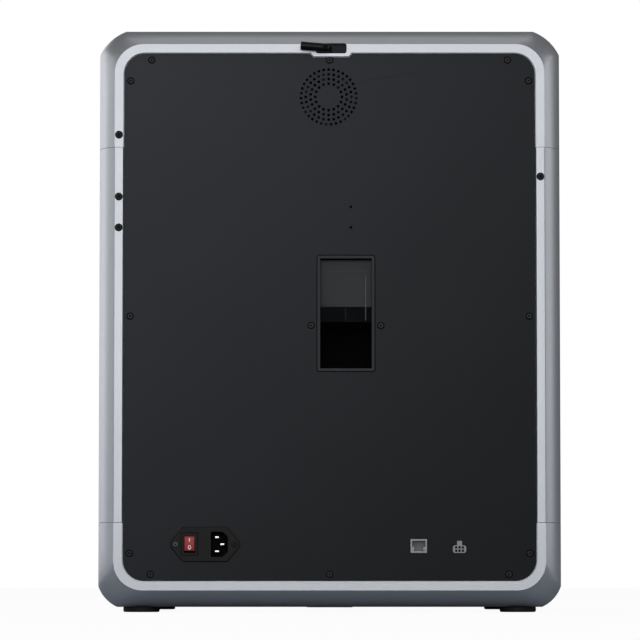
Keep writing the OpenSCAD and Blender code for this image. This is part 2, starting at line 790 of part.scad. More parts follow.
standoff_d = 6;
standoff_in = 5;
standoff_places = [for (x = [board_x0 + standoff_in, board_x1 - standoff_in])
    for (y = [board_y0 + standoff_in, bar_y - standoff_d * 1.5]) [x, y]];
floor_z = foot_h + wall;
module board_standoffs() {
    color("gold") for (p = standoff_places) translate([p[0], p[1], floor_z]) {
        cylinder(h = board_z - board_t - floor_z, d = standoff_d);
        cylinder(h = board_z - floor_z + board_t, d = shank_d);
    }
}

jack_d = 21;
jack_well = 14;
jack_wall = 1.85;
jack_lip = 1.6;
jack_step = 4.8;                                   // narrower upper part of the opening
jack_latch_w = 6.8;
proud = 0.4;                                       // sockets past the panel's face
module network_jack() {
    color("silver") difference() {
        box([jack_x - jack_w / 2, panel_y - jack_d, board_z],
            [jack_x + jack_w / 2, panel_y + proud, board_z + jack_h]);
        box([jack_x - jack_w / 2 + jack_wall, panel_y - jack_well, board_z + jack_lip],
            [jack_x + jack_w / 2 - jack_wall, panel_y + eps, board_z + jack_h - jack_step]);
        box([jack_x - jack_latch_w / 2, panel_y - jack_well, board_z + jack_h - jack_step - fit],
            [jack_x + jack_latch_w / 2, panel_y + eps, board_z + jack_h - jack_wall]);
    }
}

latch_w = 5;
latch_h = 4.3;
cell = 2.2;
cell_pitch = 3.2;
cell_d = 9;
acc_d = 13;
module accessory_outline(grow) {
    translate([acc_x, board_z + acc_h / 2]) square([acc_w + 2 * grow, acc_h + 2 * grow], center = true);
    translate([acc_x, board_z + acc_h + latch_h / 2 - eps / 2])
        square([latch_w + 2 * grow, latch_h + eps + 2 * grow], center = true);
}

module accessory_socket() {
    color("gray") difference() {
        along_y(panel_y - acc_d, panel_y + proud) accessory_outline(0);
        for (i = [-1, 0, 1], j = [-1, 1])
            translate([acc_x + i * cell_pitch, 0, board_z + acc_h / 2 + j * cell_pitch / 2])
                along_y(panel_y - cell_d, panel_y + eps) square([cell, cell], center = true);
    }
}

supply_w = 110;
supply_d = 200;
supply_h = 32;
supply_side = 89.5;                                // room beside it for a lift motor
supply_end = 117;                                  // room behind it for the inlet
module power_supply() {
    color("silver") translate([in_x - supply_side - supply_w, in_y - supply_end - supply_d, floor_z])
        cube([supply_w, supply_d, supply_h]);
}

// Fans turn about an axis along Y; the hub's cup is carried by three spokes
blades = 7;
blade_t = 1;
blade_tilt = 35;
cup_t = 3;
shaft_r = 1;
spoke_t = 2;
spoke_w = 3;
fan_corner = 3;
module fan_frame(size, depth, blade_r, hub_r) {
    difference() {
        along_y(-depth, 0) round_rect(size, size, fan_corner);
        along_y(-depth - eps, eps) circle(blade_r + 3 * gap);
        for (x = [-1, 1], z = [-1, 1]) translate([x * size * 0.42, 0, z * size * 0.42])
            along_y(-depth - eps, eps) circle(size / 28);
    }
    difference() {
        union() {
            along_y(-depth, cup_t - depth) circle(hub_r);
            for (i = [0:2]) rotate([0, i * 120, 0])
                box([hub_r - blade_t, -depth, -spoke_w / 2], [blade_r + 2, spoke_t - depth, spoke_w / 2]);
        }
        along_y(-depth + gap, eps) circle(shaft_r + fit);
    }
}

module fan_rotor(depth, blade_r, hub_r) {
    along_y(2 * gap - depth, cup_t + 2 * gap - depth) circle(shaft_r);
    along_y(cup_t + gap - depth, -1.5) circle(hub_r - gap);
    for (i = [0:blades - 1]) rotate([0, i * 360 / blades, 0])
        translate([hub_r - 1.5 * blade_t, -depth / 2 + blade_t, 0])
            rotate([blade_tilt, 0, 0]) translate([0, -blade_t / 2, -depth * 0.36])
                cube([blade_r - hub_r + blade_t, blade_t, depth * 0.72]);
}

fan_y = panel_in;
fan_blade_r = fan_size / 2 - fan_corner;
fan_hub_r = fan_size / 6;
module exhaust_fan_frame() {
    color([0.1, 0.1, 0.11]) translate([vent_x, fan_y, vent_z])
        fan_frame(fan_size, fan_depth, fan_blade_r, fan_hub_r);
}

module exhaust_fan_rotor() {
    color([0.1, 0.1, 0.11]) translate([vent_x, fan_y, vent_z])
        fan_rotor(fan_depth, fan_blade_r, fan_hub_r);
}

filter_lap = 4;
filter_back = 2;
module exhaust_filter() {
    inner = fan_size - 2 * filter_lap;
    color([0.25, 0.25, 0.26]) translate([vent_x, fan_y - fan_depth, vent_z]) difference() {
        along_y(-filter_d, 0) round_rect(fan_size + filter_lap, fan_size + filter_lap, fan_corner);
        for (i = [-2:2]) along_y(-filter_d - eps, -filter_back) translate([i * inner / 5, 0])
            square([inner / 7, inner], center = true);
    }
}

// Bed lift: two motors whose shafts are the lead screws, and four guide rods
motor_top = deck_z;
shaft_in = 18;                                     // shaft inside a motor
motor_cut = 6;                                     // corner cut of a motor's body
screw_foot = motor_top - shaft_in;
bracket_t = 8;
bracket_z0 = top_seam_z + 0.8;
bracket_z1 = bracket_z0 + bracket_t;
bracket_end = 14;
nut_r = 7;
bush_r = 9;

module motor_body(h) {
    difference() {
        translate([-motor_w / 2, -motor_w / 2, -h]) cube([motor_w, motor_w, h]);
        for (x = [-1, 1], y = [-1, 1]) translate([x * motor_w / 2, y * motor_w / 2, -h - eps])
            rotate(45) translate([-motor_cut / 2, -motor_cut / 2, 0])
                cube([motor_cut, motor_cut, h + 2 * eps]);
        children();
    }
}

module stepper_motors() {
    color("dimgray") for (s = [-1, 1]) {
        translate([s * screw_x, screw_y, motor_top])
            motor_body(motor_h) translate([0, 0, -shaft_in])
                cylinder(h = shaft_in + eps, r = lead_screw_d / 2 + fit);
        translate([s * motor_x, motor_y, plate_low - sheet_t])
            motor_body(motor_h) translate([0, 0, -shaft_in])
                cylinder(h = shaft_in + eps, r = motor_shaft_r + fit);
    }
}

module lead_screw(s) {
    color("silver") translate([s * screw_x, screw_y, screw_foot])
        cylinder(h = bracket_z1 - screw_foot, d = lead_screw_d);
}

module lead_screw_left() { lead_screw(-1); }
module lead_screw_right() { lead_screw(1); }

// Rods that guide the bed, and the two that the gantry runs on
module guide_rods() {
    color("silver") for (s = [-1, 1]) {
        for (t = [-1, 1]) translate([s * screw_x, screw_y + t * rod_dy, deck_z])
            cylinder(h = bracket_z1 - deck_z, d = rod_d);
        translate([s * gantry_x, 0, gantry_z])
            along_y(-rod_end, rod_end) circle(d = rod_d);
    }
}

module rod_brackets() {
    gantry_rod_mounts();
    color("dimgray") for (s = [-1, 1]) difference() {
        box([s > 0 ? screw_x - rod_d / 2 - 2 : -in_x, screw_y - rod_dy - bracket_end, bracket_z0],
            [s > 0 ? in_x : -screw_x + rod_d / 2 + 2, screw_y + rod_dy + bracket_end, bracket_z1]);
        translate([s * screw_x, screw_y, bracket_z0 - eps]) {
            cylinder(h = bracket_t + 2 * eps, r = lead_screw_d / 2 + fit);
            for (t = [-1, 1]) translate([0, t * rod_dy, 0])
                cylinder(h = bracket_t + 2 * eps, r = rod_d / 2 + fit);
        }
    }
}

bed_y = screw_y;
plate_t = 2;
heater_t = 6;
bed_low = plate_z - plate_t - heater_t;
web_t = 4;
block_h = 24;
block_z1 = bed_low;
block_z0 = block_z1 - block_h;
post_h = 8;
bed_post_d = 9;
web_z = bed_low - post_h - web_t;
block_w = 13;                                      // half width of a block
block_x0 = screw_x - block_w;
block_x1 = screw_x + block_w;
block_end = 12;
block_half = rod_dy + block_end;
arm_w = 28;
arm_in = 35;                                       // arm's middle from the plate's side
arm_end = 10;
arm_x = plate_w / 2 - arm_in;
window_x = arm_x - 40;
pull_w = 60;
pull_d = 10;

module bed_carriage() {
    color("dimgray") difference() {
        union() {
            box([-block_x0, screw_y - block_half, web_z],
                [block_x0, screw_y + block_half, web_z + web_t]);
            for (s = [-1, 1])
                box([s * arm_x - arm_w / 2, bed_y - plate_w / 2 + arm_end, web_z],
                    [s * arm_x + arm_w / 2, bed_y + plate_w / 2 - arm_end, web_z + web_t]);
            for (x = [-1, 1], y = [-1, 1])
                translate([x * arm_x, bed_y + y * (plate_w / 2 - 2 * arm_end), web_z])
                    cylinder(h = bed_low - web_z, d = bed_post_d);
        }
        box([-window_x, screw_y - rod_dy + block_end, web_z - eps],
            [window_x, screw_y + rod_dy - block_end, web_z + web_t + eps]);
    }
}

module bed_blocks() {
    color("dimgray") for (s = [-1, 1]) difference() {
        box([s > 0 ? block_x0 : -block_x1, screw_y - block_half, block_z0],
            [s > 0 ? block_x1 : -block_x0, screw_y + block_half, block_z1 - gap]);
        translate([s * screw_x, screw_y, block_z0 - eps]) {
            cylinder(h = block_h + 2 * eps, r = nut_r);
            for (t = [-1, 1]) translate([0, t * rod_dy, 0]) cylinder(h = block_h + 2 * eps, r = bush_r);
        }
    }
}

module bed_bushings() {
    color("tan") for (s = [-1, 1]) translate([s * screw_x, screw_y, block_z0]) {
        difference() {
            cylinder(h = block_z1 - gap - block_z0, r = nut_r);
            translate([0, 0, -eps]) cylinder(h = block_h + 2 * eps, r = lead_screw_d / 2 + fit);
        }
        for (t = [-1, 1]) translate([0, t * rod_dy, 0]) difference() {
            cylinder(h = block_z1 - gap - block_z0, r = bush_r);
            translate([0, 0, -eps]) cylinder(h = block_h + 2 * eps, r = rod_d / 2 + fit);
        }
    }
}

module bed_heater() {
    color("silver") box([-plate_w / 2, bed_y - plate_w / 2, bed_low],
                        [plate_w / 2, bed_y + plate_w / 2, plate_z - plate_t]);
}

module print_plate() {
    color([0.2, 0.17, 0.12]) {
        box([-plate_w / 2, bed_y - plate_w / 2, plate_z - plate_t],
            [plate_w / 2, bed_y + plate_w / 2, plate_z]);
        box([-pull_w / 2, bed_y - plate_w / 2 - pull_d, plate_z - plate_t],
            [pull_w / 2, bed_y - plate_w / 2, plate_z]);
    }
}

// Gantry: two rods along Y, a cross beam with a carrier at each end
mount_d = 12;
mount_w = 8;                                       // half width of a rod's mount
mount_h = 10;                                      // half height of a rod's mount
rod_end = in_y;
carrier_half = 18;
carrier_w = 9;
carrier_h = 11;                                    // half height of a carrier
carrier_in = gantry_x - carrier_w;
belt_gap = 1.5;                                    // between the two levels of belts
belt_z = gantry_z + beam_w / 2 + 2;
motor_end = 22;                                    // motor's middle from the rear wall
motor_side = 24.5;                                 // motor's middle from the castings' bars
motor_y = in_y - motor_end;
motor_x = bar_x - motor_side;
idler_y = -motor_y;
belt_r = pulley_r + gap;
upper_belt_z = belt_z + belt_w + belt_gap;
beam_idler_r = pulley_r - 0.5;
sheet_t = 3;
flange_t = 1;
flange_lap = 2;

module gantry_rod_mounts() {
    color("dimgray") for (s = [-1, 1], t = [-1, 1]) difference() {
        box([s > 0 ? gantry_x - mount_w : -bar_x, t > 0 ? in_y - mount_d : -in_y, gantry_z - mount_h],
            [s > 0 ? bar_x : -gantry_x + mount_w, t > 0 ? in_y : -in_y + mount_d, gantry_z + mount_h]);
        translate([s * gantry_x, 0, gantry_z])
            along_y(-rod_end - eps, rod_end + eps) circle(rod_d / 2 + fit);
    }
}

motor_shaft_r = 2.5;
plate_low = gantry_z - mount_h - 4;
module belt_brackets() {
    idler_forks();
    color("dimgray") for (s = [-1, 1]) difference() {
        box([s > 0 ? motor_x - motor_w / 2 : -bar_x, motor_y - motor_w / 2, plate_low - sheet_t],
            [s > 0 ? bar_x : -motor_x + motor_w / 2, in_y, plate_low]);
        translate([s * motor_x, motor_y, plate_low - sheet_t - eps])
            cylinder(h = sheet_t + 2 * eps, r = motor_shaft_r + 1.5);
    }
}

// Spool that a belt runs round: a plain drum between two flanges
module spool(r, bore) {
    difference() {
        union() {
            translate([0, 0, -flange_t]) cylinder(h = belt_w + 2 * flange_t, r = r);
            for (z = [-2 * flange_t, belt_w + flange_t])
                translate([0, 0, z]) cylinder(h = flange_t, r = r + flange_lap);
        }
        translate([0, 0, -3 * flange_t]) cylinder(h = belt_w + 6 * flange_t, r = bore);
    }
}

module drive_pulley(s) {
    foot = plate_low - sheet_t - shaft_in + fit;
    color("silver") {
        translate([s * motor_x, motor_y, foot])
            cylinder(h = belt_z + belt_w + 2 * flange_t - foot, r = motor_shaft_r);
        translate([s * motor_x, motor_y, belt_z]) spool(pulley_r, motor_shaft_r / 2);
    }
}

module drive_pulley_left() { drive_pulley(-1); }
module drive_pulley_right() { drive_pulley(1); }

fork_t = 2.5;
fork_w = 10;                                       // half width of an idler's fork
fork_gap = 2 * flange_t + 0.2;
module idler_forks() {
    color("dimgray") for (s = [-1, 1]) translate([s * motor_x, 0, belt_z]) {
        for (z = [-fork_gap - fork_t, belt_w + fork_gap])
            box([-fork_w, -in_y, z], [fork_w, idler_y + fork_w * 0.8, z + fork_t]);
        box([-fork_w, -in_y, -fork_gap - fork_t], [fork_w, -in_y + sheet_t, belt_w + fork_gap + fork_t]);
        translate([0, idler_y, -fork_gap - fork_t / 2])
            cylinder(h = belt_w + 2 * fork_gap + fork_t, r = motor_shaft_r);
    }
}

module idler(s) {
    color("silver") translate([s * motor_x, idler_y, belt_z]) spool(pulley_r, motor_shaft_r + fit);
}

module idler_left() { idler(-1); }
module idler_right() { idler(1); }

module belt_loop(r) {
    for (s = [-1, 1]) translate([s * r - (s > 0 ? 0 : belt_t), idler_y, 0])
        cube([belt_t, motor_y - idler_y, belt_w]);
    for (e = [[idler_y, -1], [motor_y, 1]]) translate([0, e[0], 0]) difference() {
        cylinder(h = belt_w, r = r + belt_t);
        translate([0, 0, -eps]) cylinder(h = belt_w + 2 * eps, r = r);
        translate([-r - 5, e[1] > 0 ? -r - 5 : 0, -eps]) cube([2 * r + 10, r + 5, belt_w + 2 * eps]);
    }
}

module side_belts() {
    color([0.05, 0.05, 0.05]) for (s = [-1, 1]) translate([s * motor_x, 0, belt_z]) belt_loop(belt_r);
}

beam_t = 2;
module cross_beam() {
    color([0.1, 0.1, 0.1]) difference() {
        box([-carrier_in, beam_dy - beam_w / 2, gantry_z - beam_w / 2],
            [carrier_in, beam_dy + beam_w / 2, gantry_z + beam_w / 2]);
        box([-carrier_in - eps, beam_dy - beam_w / 2 + beam_t, gantry_z - beam_w / 2 + beam_t],
            [carrier_in + eps, beam_dy + beam_w / 2 - beam_t, gantry_z + beam_w / 2 - beam_t]);
    }
    color([0.05, 0.05, 0.05]) for (t = [-1, 1])
        box([-motor_x, beam_dy + t * (beam_idler_r + belt_t / 2 + 0.1) - belt_t / 2, upper_belt_z],
            [motor_x, beam_dy + t * (beam_idler_r + belt_t / 2 + 0.1) + belt_t / 2, upper_belt_z + belt_w]);
}

module beam_carriers() {
    color("dimgray") for (s = [-1, 1]) {
        difference() {
            box([s > 0 ? carrier_in : -gantry_x - carrier_w, beam_dy - carrier_half, gantry_z - carrier_h],
                [s > 0 ? gantry_x + carrier_w : -carrier_in, beam_dy + carrier_half, gantry_z + carrier_h]);
            translate([s * gantry_x, 0, gantry_z])
                along_y(beam_dy - carrier_half - eps, beam_dy + carrier_half + eps) circle(rod_d / 2 + fit);
        }
        translate([s * motor_x, beam_dy, gantry_z + beam_w / 2]) {
            cylinder(h = flange_t, r = pulley_r + 1);
            translate([0, 0, flange_t])
                cylinder(h = upper_belt_z + belt_w + flange_t - gantry_z - beam_w / 2, r = beam_idler_r);
        }
    }
}

// Toolhead
head_rise = 50;
head_top = gantry_z + head_rise;
cover_low = nozzle_z + 9;
cover_t = 2;
cover_r = 6;
slot_gap = 0.35;
head_wall = 4;
cover_y0 = -26;
cover_y1 = beam_dy - beam_w / 2 - head_wall - 1.7;
carriage_low = gantry_z - beam_w / 2 - head_wall;
carriage_top = upper_belt_z + belt_w + 2 * head_wall;
module toolhead_carriage() {
    color("dimgray") difference() {
        box([-head_half, cover_y1, carriage_low],
            [head_half, beam_dy + beam_w / 2 + head_wall, carriage_top]);
        box([-head_half - eps, beam_dy - beam_w / 2 - slot_gap, gantry_z - beam_w / 2 - slot_gap],
            [head_half + eps, beam_dy + beam_w / 2 + slot_gap, upper_belt_z + belt_w + 1]);
    }
}

module toolhead_cover() {
    color([0.12, 0.12, 0.13]) difference() {
        along_y(cover_y0, cover_y1) translate([0, (cover_low + head_top) / 2])
            round_rect(2 * head_half, head_top - cover_low, cover_r);
        box([-head_half + cover_t, cover_y0 + cover_t, cover_low - eps],
            [head_half - cover_t, cover_y1 + eps, head_top - cover_r - cover_t]);
        translate([0, 0, head_fan_z])
            along_y(cover_y0 - eps, cover_y0 + cover_t + eps) circle(head_fan_r + 2 * gap);
    }
}

head_fan_r = 15;
head_fan_d = 9;
head_hub_r = 6;
head_fan_blade_r = head_fan_r - 0.5;
head_fan_z = cover_low + head_fan_r + 11;
module toolhead_fan_frame() {
    color([0.1, 0.1, 0.1]) translate([0, cover_y0 + cover_t, head_fan_z]) mirror([0, 1, 0])
        fan_frame(2 * head_fan_r + 4, head_fan_d, head_fan_blade_r, head_hub_r);
}

module toolhead_fan_rotor() {
    color([0.1, 0.1, 0.11]) translate([0, cover_y0 + cover_t, head_fan_z]) mirror([0, 1, 0])
        fan_rotor(head_fan_d, head_fan_blade_r, head_hub_r);
}

tip_h = 4;
tip_d = 1.5;
hex_d = 7;
hex_h = 6;
heat_z = nozzle_z + tip_h + hex_h - 1;
heat_w = 9;                                        // half width of the heater block
heat_d = 8;
heat_h = 11;
neck_h = 4;
cooler_w = 10;
cooler_d = 7;
cooler_top = gantry_z + 12;
module hotend() {
    color("silver") {
        translate([0, 0, nozzle_z]) cylinder(h = tip_h, d1 = tip_d, d2 = hex_d);
        translate([0, 0, nozzle_z + tip_h]) cylinder(h = hex_h, d = hex_d + 1);
        box([-heat_w, -heat_d, heat_z], [heat_w, heat_d, heat_z + heat_h]);
        translate([0, 0, heat_z + heat_h]) cylinder(h = neck_h, d = hex_d);
        box([-cooler_w, -cooler_d, heat_z + heat_h + neck_h], [cooler_w, cover_y1, cooler_top]);
    }
}

// Door: glass between two clamps that turn on pins over and under it
hinge_t = 4;
hinge_side = 7;
hinge_gap = 0.6;
hinge_x = -door_open - hinge_side;
hinge_y = front_y - knuckle_r - hinge_gap;
door_z0 = base_seam_z + hinge_t;
door_z1 = door_top + door_lap;
door_right = door_open + door_lap;
clamp_h = 18;
clamp_w = 24;
hinge_w = 10;
pin_in = 11;                                       // hinge pin inside its clamp
glass_x0 = hinge_x + knuckle_r;

module door_glass() {
    color([0.5, 0.55, 0.6, 0.5]) box([glass_x0, hinge_y - glass_t / 2, door_z0],
                                     [door_right, hinge_y + glass_t / 2, door_z1]);
}

module door_clamp(z) {
    difference() {
        union() {
            translate([hinge_x, hinge_y, z]) cylinder(h = clamp_h, r = knuckle_r);
            box([hinge_x, hinge_y - knuckle_r, z], [hinge_x + clamp_w, hinge_y + knuckle_r, z + clamp_h]);
        }
        box([glass_x0, hinge_y - glass_t / 2, z - eps],
            [hinge_x + clamp_w + eps, hinge_y + glass_t / 2, z + clamp_h + eps]);
        translate([hinge_x, hinge_y, z - eps]) cylinder(h = clamp_h + 2 * eps, r = pin_d / 2 + fit);
    }
}

grip_w = 20;
grip_h = 120;
grip_d = 8.4;
catch_w = 8;
catch_h = 16;
catch_in = 1;
module door_fittings() {
    mid = (door_z0 + door_z1) / 2;
    face = hinge_y - glass_t / 2;
    color([0.15, 0.15, 0.16]) {
        door_clamp(door_z0);
        door_clamp(door_z1 - clamp_h);
        difference() {
            box([door_right - grip_w, face - grip_d, mid - grip_h / 2],
                [door_right, face, mid + grip_h / 2]);
            translate([door_right - grip_w, face - grip_d * 0.35, mid - grip_h / 2 - eps])
                cylinder(h = grip_h + 2 * eps, r = grip_d * 0.45);
        }
        box([door_right - catch_in - catch_w, hinge_y + glass_t / 2, door_z1 - clamp_h + hinge_t - catch_h],
            [door_right - catch_in, front_y - gap, door_z1 - clamp_h + hinge_t]);
    }
}

module door_brackets() {
    color([0.15, 0.15, 0.16]) for (e = [[door_z0 - gap - hinge_t, 1], [door_z1 + gap, -1]]) {
        box([hinge_x - knuckle_r, hinge_y - knuckle_r, e[0]], [hinge_x + hinge_w, front_y, e[0] + hinge_t]);
        translate([hinge_x, hinge_y, e[1] > 0 ? e[0] + eps : e[0] - pin_in])
            cylinder(h = pin_in + hinge_t - eps, d = pin_d);
    }
}

// Lid: a glass pane in a rim that drops into the frame's seat
rim_h = 4.5;
rim_in = 14;
ledge = 5;                                         // rim under the lid's glass
ledge_t = 1;
lip_w = 90;
lip_h = 4;
lip_t = 7;
lip_in = 1;
rim_z = top_z - lid_seat;
module lid_rim() {
    x = lid_open + lid_lap;
    y0 = -lid_front - lid_lap;
    y1 = lid_rear + lid_lap;
    color([0.15, 0.15, 0.16]) {
        difference() {
            box([-x, y0, rim_z], [x, y1, rim_z + rim_h]);
            box([-x + rim_in, y0 + rim_in, rim_z - eps], [x - rim_in, y1 - rim_in, rim_z + rim_h + eps]);
            box([-x + rim_in - ledge, y0 + rim_in - ledge, rim_z + ledge_t],
                [x - rim_in + ledge, y1 - rim_in + ledge, rim_z + rim_h + eps]);
        }
        box([-lip_w / 2, y0 + lip_in, rim_z + rim_h - eps],
            [lip_w / 2, y0 + lip_in + lip_t, rim_z + rim_h + lip_h]);
    }
}

module lid_glass() {
    x = lid_open + lid_lap - rim_in + ledge;
    color([0.5, 0.55, 0.6, 0.4])
        box([-x, -lid_front - lid_lap + rim_in - ledge, rim_z + ledge_t],
            [x, lid_rear + lid_lap - rim_in + ledge, rim_z + ledge_t + glass_t]);
}

screen_t = 5;
screen_r = 4;
screen_rim = 6;
pane_drop = 0.8;
module touch_screen() {
    z = (door_z1 + screen_rim + open_z1) / 2;
    color([0.06, 0.06, 0.07]) difference() {
        along_y(front_y - screen_t, front_y) translate([screen_x, z])
            round_rect(screen_w, screen_h, screen_r);
        along_y(front_y - screen_t - eps, front_y - screen_t + pane_drop) translate([screen_x, z])
            square([screen_w - 2 * screen_rim, screen_h - 2 * screen_rim], center = true);
    }
}

frame_top();
frame_top_rear();
frame_top_front();
corner_posts();
frame_base();
frame_base_rear();
frame_base_front();
back_panel();
side_panels();
base_deck();
feet();
panel_screws();
band_screws();
chute_trim();
chute_duct();
chute_baffle();
chute_guard();
filament_port();
filament_elbow();
inlet_housing();
inlet_pins();
inlet_screws();
rocker_switch();
main_board();
board_standoffs();
network_jack();
accessory_socket();
power_supply();
exhaust_fan_frame();
exhaust_fan_rotor();
exhaust_filter();
stepper_motors();
lead_screw_left();
lead_screw_right();
guide_rods();
rod_brackets();
bed_carriage();
bed_blocks();
bed_bushings();
bed_heater();
print_plate();
belt_brackets();
drive_pulley_left();
drive_pulley_right();
idler_left();
idler_right();
side_belts();
cross_beam();
beam_carriers();
toolhead_carriage();
toolhead_cover();
hotend();
toolhead_fan_frame();
toolhead_fan_rotor();
door_glass();
door_fittings();
door_brackets();
lid_rim();
lid_glass();
touch_screen();
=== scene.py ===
import json
import math
import bmesh
import bpy
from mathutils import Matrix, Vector

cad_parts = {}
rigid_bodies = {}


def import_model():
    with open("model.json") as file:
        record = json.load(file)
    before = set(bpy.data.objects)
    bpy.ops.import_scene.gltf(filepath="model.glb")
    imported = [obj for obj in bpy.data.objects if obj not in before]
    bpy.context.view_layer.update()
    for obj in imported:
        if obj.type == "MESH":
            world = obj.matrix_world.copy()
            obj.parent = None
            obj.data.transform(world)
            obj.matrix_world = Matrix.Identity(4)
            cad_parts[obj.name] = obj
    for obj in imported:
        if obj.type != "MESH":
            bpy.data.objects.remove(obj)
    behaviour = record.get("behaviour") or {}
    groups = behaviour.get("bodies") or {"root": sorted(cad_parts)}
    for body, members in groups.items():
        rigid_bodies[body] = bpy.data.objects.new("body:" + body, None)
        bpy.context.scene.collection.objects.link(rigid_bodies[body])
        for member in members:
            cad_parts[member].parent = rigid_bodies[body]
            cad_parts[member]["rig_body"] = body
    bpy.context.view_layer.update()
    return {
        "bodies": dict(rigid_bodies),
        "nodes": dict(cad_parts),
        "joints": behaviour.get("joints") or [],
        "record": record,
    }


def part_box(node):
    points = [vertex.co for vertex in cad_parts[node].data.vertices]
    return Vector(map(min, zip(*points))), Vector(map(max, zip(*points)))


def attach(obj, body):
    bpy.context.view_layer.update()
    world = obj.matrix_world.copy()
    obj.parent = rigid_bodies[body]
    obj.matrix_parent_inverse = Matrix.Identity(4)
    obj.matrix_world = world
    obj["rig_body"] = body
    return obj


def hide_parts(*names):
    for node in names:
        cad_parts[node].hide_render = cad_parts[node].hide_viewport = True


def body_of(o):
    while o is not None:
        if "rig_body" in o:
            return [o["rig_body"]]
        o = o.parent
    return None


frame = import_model()
nodes = frame["nodes"]
print("frame loaded:", len(nodes), "nodes")

# Camera straight behind the printer, a little below its middle and looking up
cameraSet = {"place": (0.0, 4.0244, 0.029), "pitch": 3.8174, "lens": 220.96, "slide": -0.01506}
eye = bpy.data.cameras.new("eye")
eye.lens = cameraSet["lens"]
eye.sensor_width = 36
eye.shift_x = cameraSet["slide"]
eye.clip_end = 50
eyeHolder = bpy.data.objects.new("eye", eye)
eyeHolder.location = cameraSet["place"]
eyeHolder.rotation_euler = (math.radians(90 + cameraSet["pitch"]), 0, math.pi)
bpy.context.collection.objects.link(eyeHolder)
bpy.context.scene.camera = eyeHolder


# A shader socket that can be used in Python sums
class Wire:
    def __init__(self, paint, socket):
        self.paint = paint
        self.socket = socket

    def math(self, operation, *others):
        return self.paint.add("ShaderNodeMath", {"operation": operation}, [self, *others])

    def __add__(self, other):
        return self.math("ADD", other)

    def __sub__(self, other):
        return self.math("SUBTRACT", other)

    def __mul__(self, other):
        return self.math("MULTIPLY", other)

    def __rsub__(self, other):
        return self.paint.add("ShaderNodeMath", {"operation": "SUBTRACT"}, [other, self])

    __radd__ = __add__
    __rmul__ = __mul__

    def over(self, edge, soft):
        # 0 below the edge and 1 past it, over a soft width
        return self.paint.add("ShaderNodeMapRange", {"clamp": True}, {
            "Value": self, "From Min": edge, "From Max": edge + soft, "To Min": 0.0, "To Max": 1.0})

    def within(self, low, high, soft):
        return self.over(low - soft, soft) - self.over(high, soft)


# One material, or the world, and the nodes that feed its shader
class Paint:
    def __init__(self, name, owner=None, **fixed):
        self.material = owner or bpy.data.materials.new(name)
        self.material.use_nodes = True
        self.tree = self.material.node_tree
        self.shader = self.tree.nodes["Background" if owner else "Principled BSDF"]
        for words, value in fixed.items():
            self.shader.inputs[words.replace("_", " ")].default_value = value

    def add(self, kind, settings=None, inputs=None, output=0):
        node = self.tree.nodes.new(kind)
        for key, value in (settings or {}).items():
            setattr(node, key, value)
        pairs = inputs.items() if isinstance(inputs, dict) else enumerate(inputs or [])
        for key, value in pairs:
            if isinstance(value, Wire):
                self.tree.links.new(value.socket, node.inputs[key])
            else:
                node.inputs[key].default_value = value
        return Wire(self, node.outputs[output])

    def place(self, stretch=(1, 1, 1), centre=(0, 0, 0)):
        coords = self.add("ShaderNodeTexCoord", output="Object")
        return self.add("ShaderNodeMapping", inputs={
            "Vector": coords, "Scale": stretch,
            "Location": [-c * s for c, s in zip(centre, stretch)]})

    def axes(self, centre=(0, 0, 0)):
        parts = self.add("ShaderNodeSeparateXYZ", inputs=[self.place(centre=centre)])
        return [Wire(self, parts.socket.node.outputs[i]) for i in range(3)]

    def noise(self, scale, detail=2, stretch=(1, 1, 1)):
        return self.add("ShaderNodeTexNoise", inputs={
            "Vector": self.place(stretch), "Scale": scale, "Detail": detail})

    def mix(self, factor, first, second):
        colors = [value if isinstance(value, Wire) else (*value, 1) for value in (first, second)]
        return self.add("ShaderNodeMix", {"data_type": "RGBA"},
                        {0: factor, 6: colors[0], 7: colors[1]}, 2)

    def feed(self, name, wire):
        self.tree.links.new(wire.socket, self.shader.inputs[name])

    def bump(self, height, distance, strength=1.0):
        self.feed("Normal", self.add("ShaderNodeBump", inputs={
            "Strength": strength, "Distance": distance, "Height": height}))

    def cloudy(self, color, spread, scale):
        low = [c * (1 - spread) for c in color]
        high = [c * (1 + spread) for c in color]
        return self.mix(self.noise(scale, 2), low, high)


# Cast metal, blasted fine and finished satin
def blastedMetal(name, color, roughness=0.4, metallic=0.9, grainSize=1400):
    paint = Paint(name, Metallic=metallic)
    grain = paint.noise(grainSize, 2)
    cloud = paint.noise(7, 3)
    paint.feed("Base Color", paint.cloudy(color, 0.02, 60))
    paint.feed("Roughness", grain * 0.10 + cloud * 0.05 + (roughness - 0.075))
    paint.bump(grain, 0.00004, 0.35)
    return paint.material


def coated(name, color, roughness=0.45, depth=0.00005, scale=1100, spread=0.06, **fixed):
    paint = Paint(name, **fixed)
    grain = paint.noise(scale, 3)
    paint.feed("Base Color", paint.cloudy(color, spread, 18))
    paint.feed("Roughness", grain * 0.14 + paint.noise(11, 2) * 0.05 + (roughness - 0.095))
    paint.bump(grain, depth, 0.5)
    return paint.material


# Rear panel: fine coat with painted light, paler towards one upper corner, and painted shade, dark just
# below its face
rearPaintedLight = {"power": 1.5, "faceDepth": 0.00006, "faceSoft": 0.00003}


